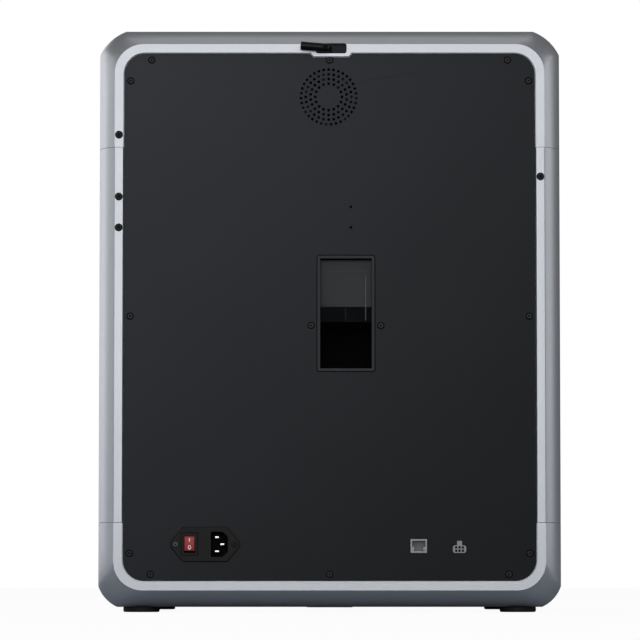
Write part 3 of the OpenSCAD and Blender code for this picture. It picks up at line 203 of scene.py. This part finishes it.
def rearCoat():
    low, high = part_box("back_panel")
    paint = Paint("rearCoat", Specular_IOR_Level=0.22)
    x, y, z = paint.axes()
    # painted light: the coat grows paler towards the upper corner on the +X side
    across = x.over(low.x, high.x - low.x) * 0.5
    upward = z.over(low.z, high.z - low.z) * 0.5
    paintedLight = (across + upward).math("POWER", rearPaintedLight["power"])
    # painted shade: near black just below the panel's face, in its holes and round its edges
    edge = 1 - y.over(high.y - rearPaintedLight["faceDepth"], rearPaintedLight["faceSoft"])
    grain = paint.noise(1100, 3)
    coat = paint.mix(paintedLight, (0.0028, 0.0038, 0.0066), (0.0310, 0.0335, 0.0405))
    paint.feed("Base Color", paint.mix(edge, coat, (0.0008, 0.0008, 0.0010)))
    paint.feed("Roughness", grain * 0.14 + paint.noise(11, 2) * 0.05 + 0.355)
    paint.bump(grain, 0.00005, 0.5)
    return paint.material


# Steel turned or ground, with fine lines across one axis
def turnedSteel(name, color, roughness=0.22, along=2):
    paint = Paint(name, Metallic=1.0)
    stretch = [60, 60, 60]
    stretch[along] = 2600
    lines = paint.noise(1, 2, stretch)
    paint.feed("Base Color", paint.mix(lines, [c * 0.85 for c in color], color))
    paint.feed("Roughness", lines * 0.16 + (roughness - 0.08))
    paint.bump(lines, 0.00001, 0.4)
    return paint.material


def sheetGlass(name, color, alpha, roughness=0.04):
    paint = Paint(name, Roughness=roughness, Coat_Weight=0.5, Coat_Roughness=0.02)
    smear = paint.noise(5, 3, (1, 1, 0.4))
    paint.feed("Base Color", paint.mix(smear, color, [c * 1.3 for c in color]))
    paint.feed("Alpha", smear * 0.05 + (alpha - 0.025))
    return paint.material


# Clear guard over the chute: a lighter band near its top edged by a fine line, where a moulded step is,
# and two pale streaks of painted reflection
def guardPlastic():
    low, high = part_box("chute_guard")
    paint = Paint("guardPlastic", Roughness=0.1, Specular_IOR_Level=0.12)
    x, _, z = paint.axes()
    # painted reflection: a wide pale streak and a faint thin one, running up the guard
    wideReflectionEnds = z.over(low.z + 0.001, 0.002), 1 - z.over(high.z - 0.015, 0.003)
    wide = x.within(low.x + 0.0055, low.x + 0.0060, 0.0003) * wideReflectionEnds[0] * wideReflectionEnds[1]
    thinReflectionEnd = 1 - z.over(high.z - 0.02, 0.004)
    thinReflection = x.within(low.x + 0.0250, low.x + 0.0254, 0.0003) * thinReflectionEnd * 0.25
    ledge = z.within(high.z - 0.0096, high.z - 0.0090, 0.0002)
    step = z.over(high.z - 0.0092, 0.0004) * 0.10 + ledge * 0.2
    marks = wide * 0.6 + thinReflection + step
    dust = paint.noise(40, 3) * 0.02
    paint.feed("Base Color", paint.mix(marks, (0.04, 0.05, 0.065), (0.34, 0.36, 0.38)))
    paint.feed("Alpha", marks * 0.35 + dust + 0.03)
    return paint.material


# Moulding or metal with painted shade: it turns to the dark tone deeper than a level, as shade falls in
# a recess
def recessShade(name, face, shallow, deep, level, fade, roughness=0.4, grainSize=1500, **fixed):
    paint = Paint(name, **fixed)
    _, y, _ = paint.axes()
    # painted shade: darker deeper below the face
    depth = 1 - y.over(face - level - fade, fade)
    grain = paint.noise(grainSize, 3)
    paint.feed("Base Color", paint.mix(depth, paint.cloudy(shallow, 0.05, 90), deep))
    paint.feed("Roughness", grain * 0.14 + depth * 0.3 + (roughness - 0.07))
    paint.bump(grain, 0.00002, 0.4)
    return paint


# Power inlet: grey face, with painted shade black in its openings and round its rim, and a painted shade
# line along the groove round the rocker
def inletPlastic():
    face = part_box("inlet_screws")[1].y - 0.0012
    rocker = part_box("rocker_switch")
    middle = [(a + b) / 2 for a, b in zip(*rocker)]
    paint = Paint("inletPlastic", Specular_IOR_Level=0.22)
    x, y, z = paint.axes(middle)
    across, up = x.math("ABSOLUTE"), z.math("ABSOLUTE")
    # painted shade: black deeper than the face, in the openings and round the rim
    depth = 1 - y.over(face - middle[1] - 0.0003, 0.0002)
    # painted shade: a dark line round the rocker's frame, where the groove is
    frame = (across + -0.0081).math("MAXIMUM", up + -0.0108)
    paintedGrooveShade = frame.within(-0.0003, 0.0003, 0.0002)
    paintedShade = depth.math("MAXIMUM", paintedGrooveShade * 0.8)
    grain = paint.noise(1500, 3)
    paint.feed("Base Color", paint.mix(paintedShade, (0.0072, 0.0072, 0.0074), (0.0008, 0.0008, 0.0008)))
    paint.feed("Roughness", grain * 0.14 + paintedShade * 0.3 + 0.38)
    paint.bump(grain, 0.00003, 0.5)
    return paint.material


# Rocker: translucent red, with painted light on a lighter crown and painted shade on a darker skirt and
# round its edges
def rockerPlastic():
    low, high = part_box("rocker_switch")
    middle = (low.z + high.z) / 2
    paint = Paint("rockerPlastic", Roughness=0.3, Specular_IOR_Level=0.2)
    x, _, z = paint.axes()
    # painted light: the red grows lighter from the lower half to the upper one
    up = z.over(middle - 0.008, 0.016)
    paintedLightRed = paint.mix(up, (0.30, 0.006, 0.008), (0.46, 0.05, 0.048))
    # painted shade: darker round the rocker's edges
    edge = (1 - x.within(low.x + 0.0016, high.x - 0.0016, 0.0012)).math(
        "MAXIMUM", 1 - z.within(low.z + 0.002, high.z - 0.0014, 0.0012))
    color = paint.mix(edge * 0.8, paintedLightRed, (0.10, 0.002, 0.003))
    paint.feed("Base Color", paint.mix(paint.noise(300, 2) * 0.15, color, (0.46, 0.03, 0.03)))
    paint.feed("Coat Weight", paint.noise(20, 2) * 0.06)
    return paint.material


# Heads of the screws: the hex socket and the edge fall into shadow
def screwSteel(name, node, color, sunk, lit=None):
    low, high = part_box(node)
    paint = Paint(name, Metallic=0.3, Specular_IOR_Level=0.3)
    x, y, _ = paint.axes()
    socket = 1 - y.over(high.y - sunk, sunk * 0.4)
    crown = paint.cloudy(color, 0.1, 300)
    if lit:
        crown = paint.mix(x.over((low.x + high.x) / 2, 0.001), crown, lit)
    paint.feed("Base Color", paint.mix(socket, crown, (0.001, 0.001, 0.001)))
    paint.feed("Roughness", paint.noise(900, 2) * 0.1 + socket * 0.4 + 0.33)
    return paint.material


# Thread of the lead screws, as rings at its pitch
def threadSteel():
    paint = Paint("threadSteel", Metallic=1.0)
    _, _, z = paint.axes()
    ring = (z * 500).math("PINGPONG", 1.0)
    paint.feed("Base Color", paint.mix(ring, (0.18, 0.18, 0.19), (0.52, 0.52, 0.54)))
    paint.feed("Roughness", ring * 0.2 + 0.2)
    paint.bump(ring, 0.0006, 0.8)
    return paint.material


# Toothed rubber belt
def beltRubber():
    paint = Paint("beltRubber", Specular_IOR_Level=0.3)
    _, y, _ = paint.axes()
    teeth = (y * 500).math("PINGPONG", 1.0)
    paint.feed("Base Color", paint.cloudy((0.010, 0.010, 0.011), 0.1, 200))
    paint.feed("Roughness", paint.noise(900, 2) * 0.15 + 0.6)
    paint.bump(teeth, 0.0004, 0.6)
    return paint.material


# Hot end: brass tip, bare block and ribbed cooler
def hotendMetal():
    low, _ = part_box("hotend")
    paint = Paint("hotendMetal", Metallic=1.0)
    _, _, z = paint.axes()
    tip = 1 - z.over(low.z + 0.0095, 0.0004)
    ribs = (z * 420).math("FRACT").within(0.3, 0.7, 0.1) * z.over(low.z + 0.025, 0.001)
    paint.feed("Base Color", paint.mix(tip, (0.55, 0.55, 0.57), (0.70, 0.47, 0.2)))
    paint.feed("Roughness", paint.noise(900, 2) * 0.15 + 0.25)
    paint.bump(ribs, 0.0006, 0.9)
    return paint.material


# Circuit board: mask and copper runs laid out in squares
def boardMask():
    paint = Paint("boardMask")
    grid = paint.add("ShaderNodeTexVoronoi", {"distance": "CHEBYCHEV", "feature": "F1"}, {
        "Vector": paint.place((1, 1, 0)), "Scale": 130.0})
    runs = grid.within(0.25, 0.32, 0.02)
    paint.feed("Base Color", paint.mix(runs, (0.008, 0.07, 0.035), (0.02, 0.13, 0.06)))
    paint.feed("Roughness", paint.noise(700, 2) * 0.2 + 0.25)
    paint.bump(runs, 0.00004, 0.6)
    return paint.material


# Touch screen's pane: a dark menu of plain tiles
def menuGlass():
    low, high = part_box("touch_screen")
    paint = Paint("menuGlass", Roughness=0.08, Coat_Weight=0.4, Coat_Roughness=0.03)
    x, _, z = paint.axes([(a + b) / 2 for a, b in zip(low, high)])
    across = x.math("ABSOLUTE")
    tiles = (across.within(0.004, 0.020, 0.0003) + across.within(0.024, 0.040, 0.0003)) * (
        z.within(-0.018, 0.006, 0.0003))
    bar = across.math("LESS_THAN", 0.04) * z.within(0.014, 0.018, 0.0003)
    ink = paint.mix(tiles, (0.004, 0.005, 0.007), (0.02, 0.05, 0.075))
    ink = paint.mix(bar, ink, (0.07, 0.09, 0.10))
    paint.feed("Base Color", paint.mix(paint.noise(9, 2) * 0.1, ink, (0.02, 0.02, 0.02)))
    return paint.material


finishes = {
    "castSatin": blastedMetal("castSatin", (0.60, 0.62, 0.66)),
    "rearCoat": rearCoat(),
    "trimCoat": coated("trimCoat", (0.0165, 0.018, 0.022), 0.42, Specular_IOR_Level=0.3),
    "sideCoat": coated("sideCoat", (0.018, 0.0195, 0.023), 0.45),
    "innerCoat": coated("innerCoat", (0.05, 0.052, 0.057), 0.45),
    "footRubber": coated("footRubber", (0.006, 0.006, 0.007), 0.7, 0.00008, 900),
    "blackMoulding": coated("blackMoulding", (0.013, 0.013, 0.015), 0.42, 0.00002, 1900),
    "tubeBlack": coated("tubeBlack", (0.0022, 0.0022, 0.0026), 0.2, 0.00001, 1500,
                        Specular_IOR_Level=0.22),
    "ductBlack": coated("ductBlack", (0.0012, 0.0012, 0.0014), 0.75, 0.00002, 900,
                        Specular_IOR_Level=0.05),
    "portFloor": coated("portFloor", (0.0085, 0.009, 0.011), 0.5, 0.00003, 1200,
                        Specular_IOR_Level=0.25),
    "fanBlack": coated("fanBlack", (0.0025, 0.0025, 0.0028), 0.5, 0.00002, 900,
                       Specular_IOR_Level=0.15),
    "baffleGrey": coated("baffleGrey", (0.026, 0.027, 0.031), 0.45, 0.00002, 900,
                         Specular_IOR_Level=0.3),
    # painted shade inside the accessory socket's openings
    "connectorGrey": recessShade("connectorGrey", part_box("accessory_socket")[1].y, (0.30, 0.30, 0.305),
                               (0.13, 0.13, 0.135), 0.0004, 0.003).material,
    "bandScrew": screwSteel("bandScrew", "band_screws", (0.004, 0.004, 0.0045), 0.0011),
    "inletScrew": screwSteel("inletScrew", "inlet_screws", (0.010, 0.009, 0.009), 0.0006,
                             (0.09, 0.09, 0.088)),
    "panelScrew": screwSteel("panelScrew", "panel_screws", (0.020, 0.021, 0.024), 0.0008),
    # painted shade inside the network jack's opening
    "jackMetal": recessShade("jackMetal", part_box("network_jack")[1].y, (0.30, 0.30, 0.305),
                           (0.24, 0.24, 0.24), 0.0006, 0.004, 0.36, Metallic=0.4).material,
    "bladeMetal": turnedSteel("bladeMetal", (0.85, 0.85, 0.86), 0.2, 1),
    "groundRod": turnedSteel("groundRod", (0.66, 0.66, 0.68), 0.16),
    "pulleyMetal": turnedSteel("pulleyMetal", (0.60, 0.60, 0.62), 0.28),
    "threadSteel": threadSteel(),
    "beltRubber": beltRubber(),
    "nutBrass": turnedSteel("nutBrass", (0.70, 0.50, 0.24), 0.3),
    "millMetal": blastedMetal("millMetal", (0.58, 0.58, 0.60), 0.42),
    "beamBlack": coated("beamBlack", (0.010, 0.010, 0.011), 0.32, 0.00002, 1500),
    "plateCoat": coated("plateCoat", (0.15, 0.105, 0.045), 0.5, 0.00012, 700, 0.12),
    "motorCase": coated("motorCase", (0.025, 0.025, 0.027), 0.38),
    "smokedGlass": sheetGlass("smokedGlass", (0.025, 0.027, 0.031), 0.4),
    "guardPlastic": guardPlastic(),
    "inletPlastic": inletPlastic(),
    "rockerPlastic": rockerPlastic(),
    "hotendMetal": hotendMetal(),
    "boardMask": boardMask(),
    "menuGlass": menuGlass(),
    "markInk": coated("markInk", (0.86, 0.86, 0.85), 0.5, 0.00001, 1500, 0.03),
}
print("finishes mixed:", len(finishes))


def selectOnly(piece):
    bpy.ops.object.select_all(action="DESELECT")
    bpy.context.view_layer.objects.active = piece
    piece.select_set(True)


def applyAll(piece):
    selectOnly(piece)
    for modifier in list(piece.modifiers):
        bpy.ops.object.modifier_apply(modifier=modifier.name)


# A merged copy of a CAD node, ready to be worked on
def mergedCopy(node):
    copy = bpy.data.objects.new(node + "Copy", nodes[node].data.copy())
    if "custom_normal" in copy.data.attributes:
        copy.data.attributes.remove(copy.data.attributes["custom_normal"])
    bpy.context.collection.objects.link(copy)
    selectOnly(copy)
    bpy.ops.object.mode_set(mode="EDIT")
    bpy.ops.mesh.select_all(action="SELECT")
    bpy.ops.mesh.remove_doubles(threshold=0.000003)
    bpy.ops.mesh.dissolve_limited(angle_limit=math.radians(0.3))
    bpy.ops.object.mode_set(mode="OBJECT")
    return copy


# Rounds a piece's edges and evens its shading
def soften(piece, width, limit=26, segments=2, clamped=True):
    piece.data.polygons.foreach_set("use_smooth", [True] * len(piece.data.polygons))
    edge = piece.modifiers.new("edge", "BEVEL")
    edge.width = width
    edge.use_clamp_overlap = clamped
    edge.segments = segments
    edge.limit_method = "ANGLE"
    edge.angle_limit = math.radians(limit)
    even = piece.modifiers.new("even", "WEIGHTED_NORMAL")
    even.mode = "FACE_AREA"
    even.weight = 50
    applyAll(piece)


def mount(piece, finish, body):
    piece.data.materials.clear()
    piece.data.materials.append(finishes[finish])
    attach(piece, body)


# Bevels only the sharp edges whose middle and run pass a test
edgeTest = {"sharp": 0.5, "alongDepth": 0.9}


def bevelWhere(piece, passes, width, segments=2):
    selectOnly(piece)
    bpy.ops.object.mode_set(mode="EDIT")
    bpy.ops.mesh.select_mode(type="EDGE")
    bpy.ops.mesh.select_all(action="DESELECT")
    sheet = bmesh.from_edit_mesh(piece.data)
    for edge in sheet.edges:
        first, second = (vert.co for vert in edge.verts)
        sharp = edge.calc_face_angle(0) > edgeTest["sharp"]
        edge.select_set(sharp and passes((first + second) / 2, (second - first).normalized()))
    bmesh.update_edit_mesh(piece.data)
    bpy.ops.mesh.bevel(offset=width, segments=segments, material=-1)
    bpy.ops.mesh.select_mode(type="FACE")
    bpy.ops.object.mode_set(mode="OBJECT")


# The finished piece for one CAD node, or for several that are one casting
def dress(name, parts, finish, width, before=None):
    copies = [mergedCopy(part) for part in parts]
    whole = copies[0]
    for copy in copies[1:]:
        union = whole.modifiers.new("union", "BOOLEAN")
        union.operation = "UNION"
        union.solver = "EXACT"
        union.object = copy
        applyAll(whole)
        bpy.data.objects.remove(copy)
    whole.name = name
    if before:
        before(whole)
    soften(whole, width, clamped=parts[0] not in ("back_panel", "corner_posts"))
    mount(whole, finish, body_of(nodes[parts[0]])[0])
    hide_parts(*parts)
    return whole


# Finish of each piece, and the round on its edges in millimetres
dressing = {
    "castSatin": {"corner_posts": 0.6},
    "rearCoat": {"back_panel": 0.25},
    "trimCoat": {"chute_trim": 0.4},
    "sideCoat": {"side_panels": 0.5},
    "innerCoat": {"rod_brackets": 0.5, "belt_brackets": 0.3, "beam_carriers": 0.5, "bed_carriage": 0.5,
                  "bed_blocks": 0.6, "base_deck": 0.4},
    "footRubber": {"feet": 0.8},
    "beltRubber": {"side_belts": 0.15},
    "menuGlass": {"touch_screen": 1.0},
    "ductBlack": {"chute_duct": 0.4},
    "fanBlack": {"exhaust_fan_frame": 0.4, "exhaust_fan_rotor": 0.2},
    "blackMoulding": {"exhaust_filter": 0.4, "toolhead_cover": 1.2, "toolhead_fan_frame": 0.3,
                      "toolhead_fan_rotor": 0.1, "toolhead_carriage": 0.6, "door_fittings": 0.8,
                      "lid_rim": 0.6, "door_brackets": 0.4},
    "tubeBlack": {"filament_elbow": 0.3},
    "portFloor": {"filament_port": 0.2},
    "baffleGrey": {"chute_baffle": 0.3},
    "connectorGrey": {"accessory_socket": 0.2},
    "bandScrew": {"band_screws": 0.2},
    "inletScrew": {"inlet_screws": 0.15},
    "panelScrew": {"panel_screws": 0.2},
    "bladeMetal": {"inlet_pins": 0.3},
    "groundRod": {"guide_rods": 0.6},
    "pulleyMetal": {"drive_pulley_left": 0.2, "drive_pulley_right": 0.2, "idler_left": 0.2,
                    "idler_right": 0.2},
    "threadSteel": {"lead_screw_left": 0.5, "lead_screw_right": 0.5},
    "nutBrass": {"board_standoffs": 0.3, "bed_bushings": 0.4},
    "millMetal": {"power_supply": 0.8, "bed_heater": 0.5},
    "beamBlack": {"cross_beam": 0.4},
    "plateCoat": {"print_plate": 0.3},
    "motorCase": {"stepper_motors": 0.6},
    "smokedGlass": {"door_glass": 0.5, "lid_glass": 0.4},
    "guardPlastic": {"chute_guard": 0.2},
    "inletPlastic": {"inlet_housing": 0.25},
    "rockerPlastic": {"rocker_switch": 0.8},
    "hotendMetal": {"hotend": 0.4},
    "boardMask": {"main_board": 0.2},
}


def makersName(node):
    first, *rest = node.split("_")
    return first + "".join(word.capitalize() for word in rest)


# Castings: cut fine near their corners, so that the bevels turn the corners without a crease
castingSet = {"edge": 0.0006, "cuts": (0.026, 0.034, 0.042, 0.052, 0.064), "reach": 0.07,
              "bevelInset": 0.016, "bevelDepth": 0.031, "slack": 0.0002, "passes": 14, "evening": 0.6}
frameLow = Vector((min(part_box("frame_base")[0].x, 0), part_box("frame_base_front")[0].y,
                   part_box("frame_base")[0].z))
frameHigh = Vector((-frameLow.x, -frameLow.y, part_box("frame_top")[1].z))


# The filament port's recess in the top casting has one rounded end
port = {"radius": 0.0028, "near": 0.0012, "segments": 4}


def roundPort(piece):
    low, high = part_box("filament_port")

    def atEnd(spot, run):
        level = low.z - port["near"] < spot.z < high.z + port["near"]
        return (abs(run.y) > edgeTest["alongDepth"] and abs(spot.x - low.x) < port["near"]
                and level and spot.y > low.y)

    bevelWhere(piece, atEnd, port["radius"], port["segments"])


def cutCorners(piece):
    roundPort(piece)
    selectOnly(piece)
    bpy.ops.object.mode_set(mode="EDIT")
    for step in castingSet["cuts"]:
        for normal in ((1, 0, 0), (0, 0, 1)):
            inward = Vector(normal) * step
            for place in (frameLow + inward, frameHigh - inward):
                bpy.ops.mesh.select_all(action="SELECT")
                bpy.ops.mesh.bisect(plane_co=place, plane_no=normal)
    bpy.ops.object.mode_set(mode="OBJECT")


def evenCorners(piece):
    def nearCorner(spot):
        beside = min(spot.x - frameLow.x, frameHigh.x - spot.x)
        above = min(spot.z - frameLow.z, frameHigh.z - spot.z)
        behind = min(spot.y - frameLow.y, frameHigh.y - spot.y)
        slack = castingSet["slack"]
        return (max(beside, above) < castingSet["reach"]
                and min(beside, above) < castingSet["bevelInset"] - slack
                and slack < behind < castingSet["bevelDepth"] - 2 * slack)

    selectOnly(piece)
    bpy.ops.object.mode_set(mode="EDIT")
    bpy.ops.mesh.select_mode(type="VERT")
    bpy.ops.mesh.select_all(action="DESELECT")
    sheet = bmesh.from_edit_mesh(piece.data)
    for vert in sheet.verts:
        vert.select_set(nearCorner(vert.co))
    sheet.select_flush_mode()
    bmesh.update_edit_mesh(piece.data)
    for _ in range(castingSet["passes"]):
        bpy.ops.mesh.smooth_normals(factor=castingSet["evening"])
    bpy.ops.mesh.select_mode(type="FACE")
    bpy.ops.object.mode_set(mode="OBJECT")


for casting in ("frame_top", "frame_base"):
    evenCorners(dress(makersName(casting), [casting, casting + "_rear", casting + "_front"], "castSatin",
                      castingSet["edge"], cutCorners))
print("castings joined")


# The inlet's plate has a wide dark edge; its socket, rocker frame and screw holes keep a fine one
inletEdge = {"reach": 0.0009, "screwClear": 0.0035, "screwHead": 0.0012, "screwInset": 0.0028,
             "frameHalf": (0.009, 0.0125), "socketHalf": (0.0105, 0.0135), "level": 0.00005, "flat": 0.1}


def edgeOfInlet(piece):
    low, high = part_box("inlet_screws")
    middle = (low + high) / 2
    face = high.y - inletEdge["screwHead"]
    rocker = [(a + b) / 2 for a, b in zip(*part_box("rocker_switch"))]
    pins = [(a + b) / 2 for a, b in zip(*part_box("inlet_pins"))]

    def onOutline(spot, run):
        if abs(spot.y - face) > inletEdge["level"] or abs(run.y) > inletEdge["flat"]:
            return False
        for centre, half in ((rocker, inletEdge["frameHalf"]), (pins, inletEdge["socketHalf"])):
            if abs(spot.x - centre[0]) < half[0] and abs(spot.z - centre[2]) < half[1]:
                return False
        ends = (low.x + inletEdge["screwInset"], high.x - inletEdge["screwInset"])
        return all(math.hypot(spot.x - end, spot.z - middle.z) > inletEdge["screwClear"] for end in ends)

    bevelWhere(piece, onOutline, inletEdge["reach"])


connector = {"near": 0.0004, "corner": 0.0014}


def cornersOfConnector(piece):
    low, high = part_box("accessory_socket")

    def atSide(spot, run):
        beside = min(spot.x - low.x, high.x - spot.x)
        return abs(run.y) > edgeTest["alongDepth"] and beside < connector["near"]

    bevelWhere(piece, atSide, connector["corner"], 1)


shaping = {"inlet_housing": edgeOfInlet, "accessory_socket": cornersOfConnector}
for finish, rounds in dressing.items():
    for node, width in rounds.items():
        dress(makersName(node), [node], finish, width / 1000, shaping.get(node))
print("solids dressed")


# Network jack: a folded metal shell, its opening narrower at the foot, with two contact posts
jack = {"wall": 0.0017, "depth": 0.0065, "post": (0.0019, 0.0042), "set": 0.0002, "edge": 0.00018,
        "pad": (0.0008, 0.0007)}
jackLow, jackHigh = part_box("network_jack")


def block(low, high):
    bpy.ops.object.select_all(action="DESELECT")
    bpy.ops.mesh.primitive_cube_add(size=1, location=(low + high) / 2)
    made = bpy.context.object
    bpy.ops.object.mode_set(mode="EDIT")
    bpy.ops.transform.resize(value=high - low)
    bpy.ops.object.mode_set(mode="OBJECT")
    bpy.ops.object.transform_apply(location=True)
    return made


def hollowFront(piece, wall, depth):
    selectOnly(piece)
    bpy.ops.object.mode_set(mode="EDIT")
    bpy.ops.mesh.select_all(action="DESELECT")
    sheet = bmesh.from_edit_mesh(piece.data)
    for face in sheet.faces:
        face.select_set(face.normal.y > 0.9)
    bmesh.update_edit_mesh(piece.data)
    bpy.ops.mesh.inset(thickness=wall)
    bpy.ops.mesh.extrude_region_move(TRANSFORM_OT_translate={"value": (0, -depth, 0)})
    bpy.ops.object.mode_set(mode="OBJECT")


shell = block(jackLow, jackHigh)
hollowFront(shell, jack["wall"], jack["depth"])
pieces = [shell]
front = jackHigh.y - jack["set"]
for side in (-1, 1):
    wide, tall = jack["post"]
    middleX = (jackLow.x + jackHigh.x) / 2
    edgeX = middleX + side * ((jackHigh.x - jackLow.x) / 2 - jack["wall"])
    inner = edgeX - side * wide
    base = jackLow.z + jack["wall"]
    pieces.append(block(Vector((min(edgeX, inner), jackHigh.y - jack["depth"], base)),
                        Vector((max(edgeX, inner), front, base + tall))))
    padX = inner - side * jack["pad"][0]
    pieces.append(block(Vector((min(padX, inner), front - 0.006, base + 0.0006)),
                        Vector((max(padX, inner), front - 0.001, base + 0.0006 + jack["pad"][1]))))
bpy.ops.object.select_all(action="DESELECT")
for piece in pieces:
    piece.select_set(True)
bpy.context.view_layer.objects.active = shell
bpy.ops.object.join()
shell.name = "networkJack"
soften(shell, jack["edge"])
mount(shell, "jackMetal", body_of(nodes["network_jack"])[0])
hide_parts("network_jack")
print("jack folded")


# I and O on the rocker: a bar on its upper face and a ring on its lower one, inked on
marks = {"lift": 0.00006, "ink": 0.00012, "bar": (0.0010, 0.0036), "ring": (0.0030, 0.0043),
         "line": 0.0007}


def inkMark(name, centre, tilt, shape):
    bpy.ops.object.select_all(action="DESELECT")
    if shape == "bar":
        width, height = marks["bar"]
        bpy.ops.mesh.primitive_cube_add(size=1, location=(0, 0, 0))
        bpy.ops.object.mode_set(mode="EDIT")
        bpy.ops.transform.resize(value=(width, marks["ink"], height))
        bpy.ops.mesh.bevel(offset=marks["ink"] / 4, segments=1)
    else:
        width, height = marks["ring"]
        bpy.ops.mesh.primitive_cylinder_add(vertices=40, radius=0.5, depth=1, location=(0, 0, 0),
                                            rotation=(math.radians(90), 0, 0))
        bpy.ops.object.transform_apply(rotation=True)
        bpy.ops.object.mode_set(mode="EDIT")
        bpy.ops.transform.resize(value=(width, marks["ink"], height))
        bpy.ops.mesh.select_all(action="DESELECT")
        sheet = bmesh.from_edit_mesh(bpy.context.object.data)
        for face in sheet.faces:
            face.select_set(abs(face.normal.y) > 0.9)
        bmesh.update_edit_mesh(bpy.context.object.data)
        bpy.ops.mesh.inset(thickness=marks["line"])
        bpy.ops.mesh.bridge_edge_loops()
    bpy.ops.mesh.select_all(action="SELECT")
    bpy.ops.mesh.normals_make_consistent(inside=False)
    bpy.ops.object.mode_set(mode="OBJECT")
    mark = bpy.context.object
    mark.name = name
    mark.rotation_euler = (math.radians(tilt), 0, 0)
    mark.location = centre
    bpy.ops.object.transform_apply(location=True, rotation=True)
    mount(mark, "markInk", "power_rocker")


rockerLow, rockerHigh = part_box("rocker_switch")
rockerX = (rockerLow.x + rockerHigh.x) / 2
inkMark("switchOn", (rockerX, 0.23567 + marks["lift"], 0.0696), 0, "bar")
inkMark("switchOff", (rockerX, 0.23654 + marks["lift"], 0.0624), 14, "ring")
print("rocker marked")


# Soft studio cards: some behind the camera, a ring of tall ones round the sides, and three above.
# Each has its middle, its width and height, and how bright its face is beside a white one.
lamps = {
    "frontMiddle": ((0, 4.6, 0.75), (2.4, 1.4), 2.17),
    "frontLeft": ((1.5, 4.4, 1.7), (2.0, 2.2), 0.87),
    "frontRight": ((-1.5, 4.4, 1.7), (2.0, 2.2), 0.23),
    "frontHigh": ((0, 4.0, 3.2), (3.0, 1.6), 0.73),
    "leftNear": ((2.46, 1.72, 0.8), (1.5, 2.4), 0.43),
    "leftBeside": ((2.99, 0.26, 0.8), (1.5, 2.4), 0.50),
    "leftBehind": ((2.72, -1.27, 0.8), (1.5, 2.4), 1.16),
    "leftFar": ((1.72, -2.46, 0.8), (1.5, 2.4), 0.88),
    "rightNear": ((-2.46, 1.72, 0.8), (1.5, 2.4), 0.13),
    "rightBeside": ((-2.99, 0.26, 0.8), (1.5, 2.4), 0.81),
    "aboveNear": ((0, 2.30, 2.21), (2.4, 1.3), 0.59),
    "above": ((0, 0, 3.28), (2.4, 1.3), 0.43),
}
aim = Vector((0, 0, 0.28))
for name, (place, (wide, tall), level) in lamps.items():
    light = bpy.data.lights.new(name, "AREA")
    light.shape = "RECTANGLE"
    light.size, light.size_y = wide, tall
    light.energy = level * math.pi * wide * tall
    holder = bpy.data.objects.new(name, light)
    holder.location = place
    holder.rotation_euler = (aim - holder.location).to_track_quat("-Z", "Y").to_euler()
    holder.visible_camera = False
    bpy.context.collection.objects.link(holder)

# Pale floor and white room; metal sees a dimmer room, and the floor keeps the printer's shadow
room = {"floorSize": 30, "floorLit": (0.8, 0.8, 0.8), "floorInMetal": (0.24, 0.26, 0.30),
        "whiteness": 0.95, "metalSees": 0.12, "fill": 0.44}
bpy.ops.object.select_all(action="DESELECT")
bpy.ops.mesh.primitive_plane_add(size=room["floorSize"], location=(0, 0, 0))
floor = bpy.context.object
floor.name = "floor"
floorPaint = Paint("floorPaint", Roughness=0.9, Specular_IOR_Level=0.1)
seen = floorPaint.add("ShaderNodeLightPath", output="Is Camera Ray") + (
    floorPaint.add("ShaderNodeLightPath", output="Is Transmission Ray"))
floorPaint.feed("Base Color", floorPaint.mix(seen, room["floorInMetal"], room["floorLit"]))
white = floorPaint.add("ShaderNodeEmission", inputs={"Strength": 1.0})
blended = floorPaint.add("ShaderNodeMixShader", inputs=[
    seen * room["whiteness"], Wire(floorPaint, floorPaint.shader.outputs[0]), white])
floorPaint.tree.links.new(blended.socket, floorPaint.tree.nodes["Material Output"].inputs[0])
floor.data.materials.append(floorPaint.material)

world = bpy.data.worlds.new("room")
bpy.context.scene.world = world
sky = Paint("room", world)
sky.shader.inputs["Color"].default_value = (1, 1, 1, 1)
ray = {kind: sky.add("ShaderNodeLightPath", output=f"Is {kind} Ray")
       for kind in ("Camera", "Transmission", "Glossy", "Diffuse")}
sky.feed("Strength", ray["Camera"] + ray["Transmission"] + ray["Glossy"] * room["metalSees"] + (
    ray["Diffuse"] * room["fill"]))
bpy.context.scene.view_settings.view_transform = "Standard"
print("stage lit")
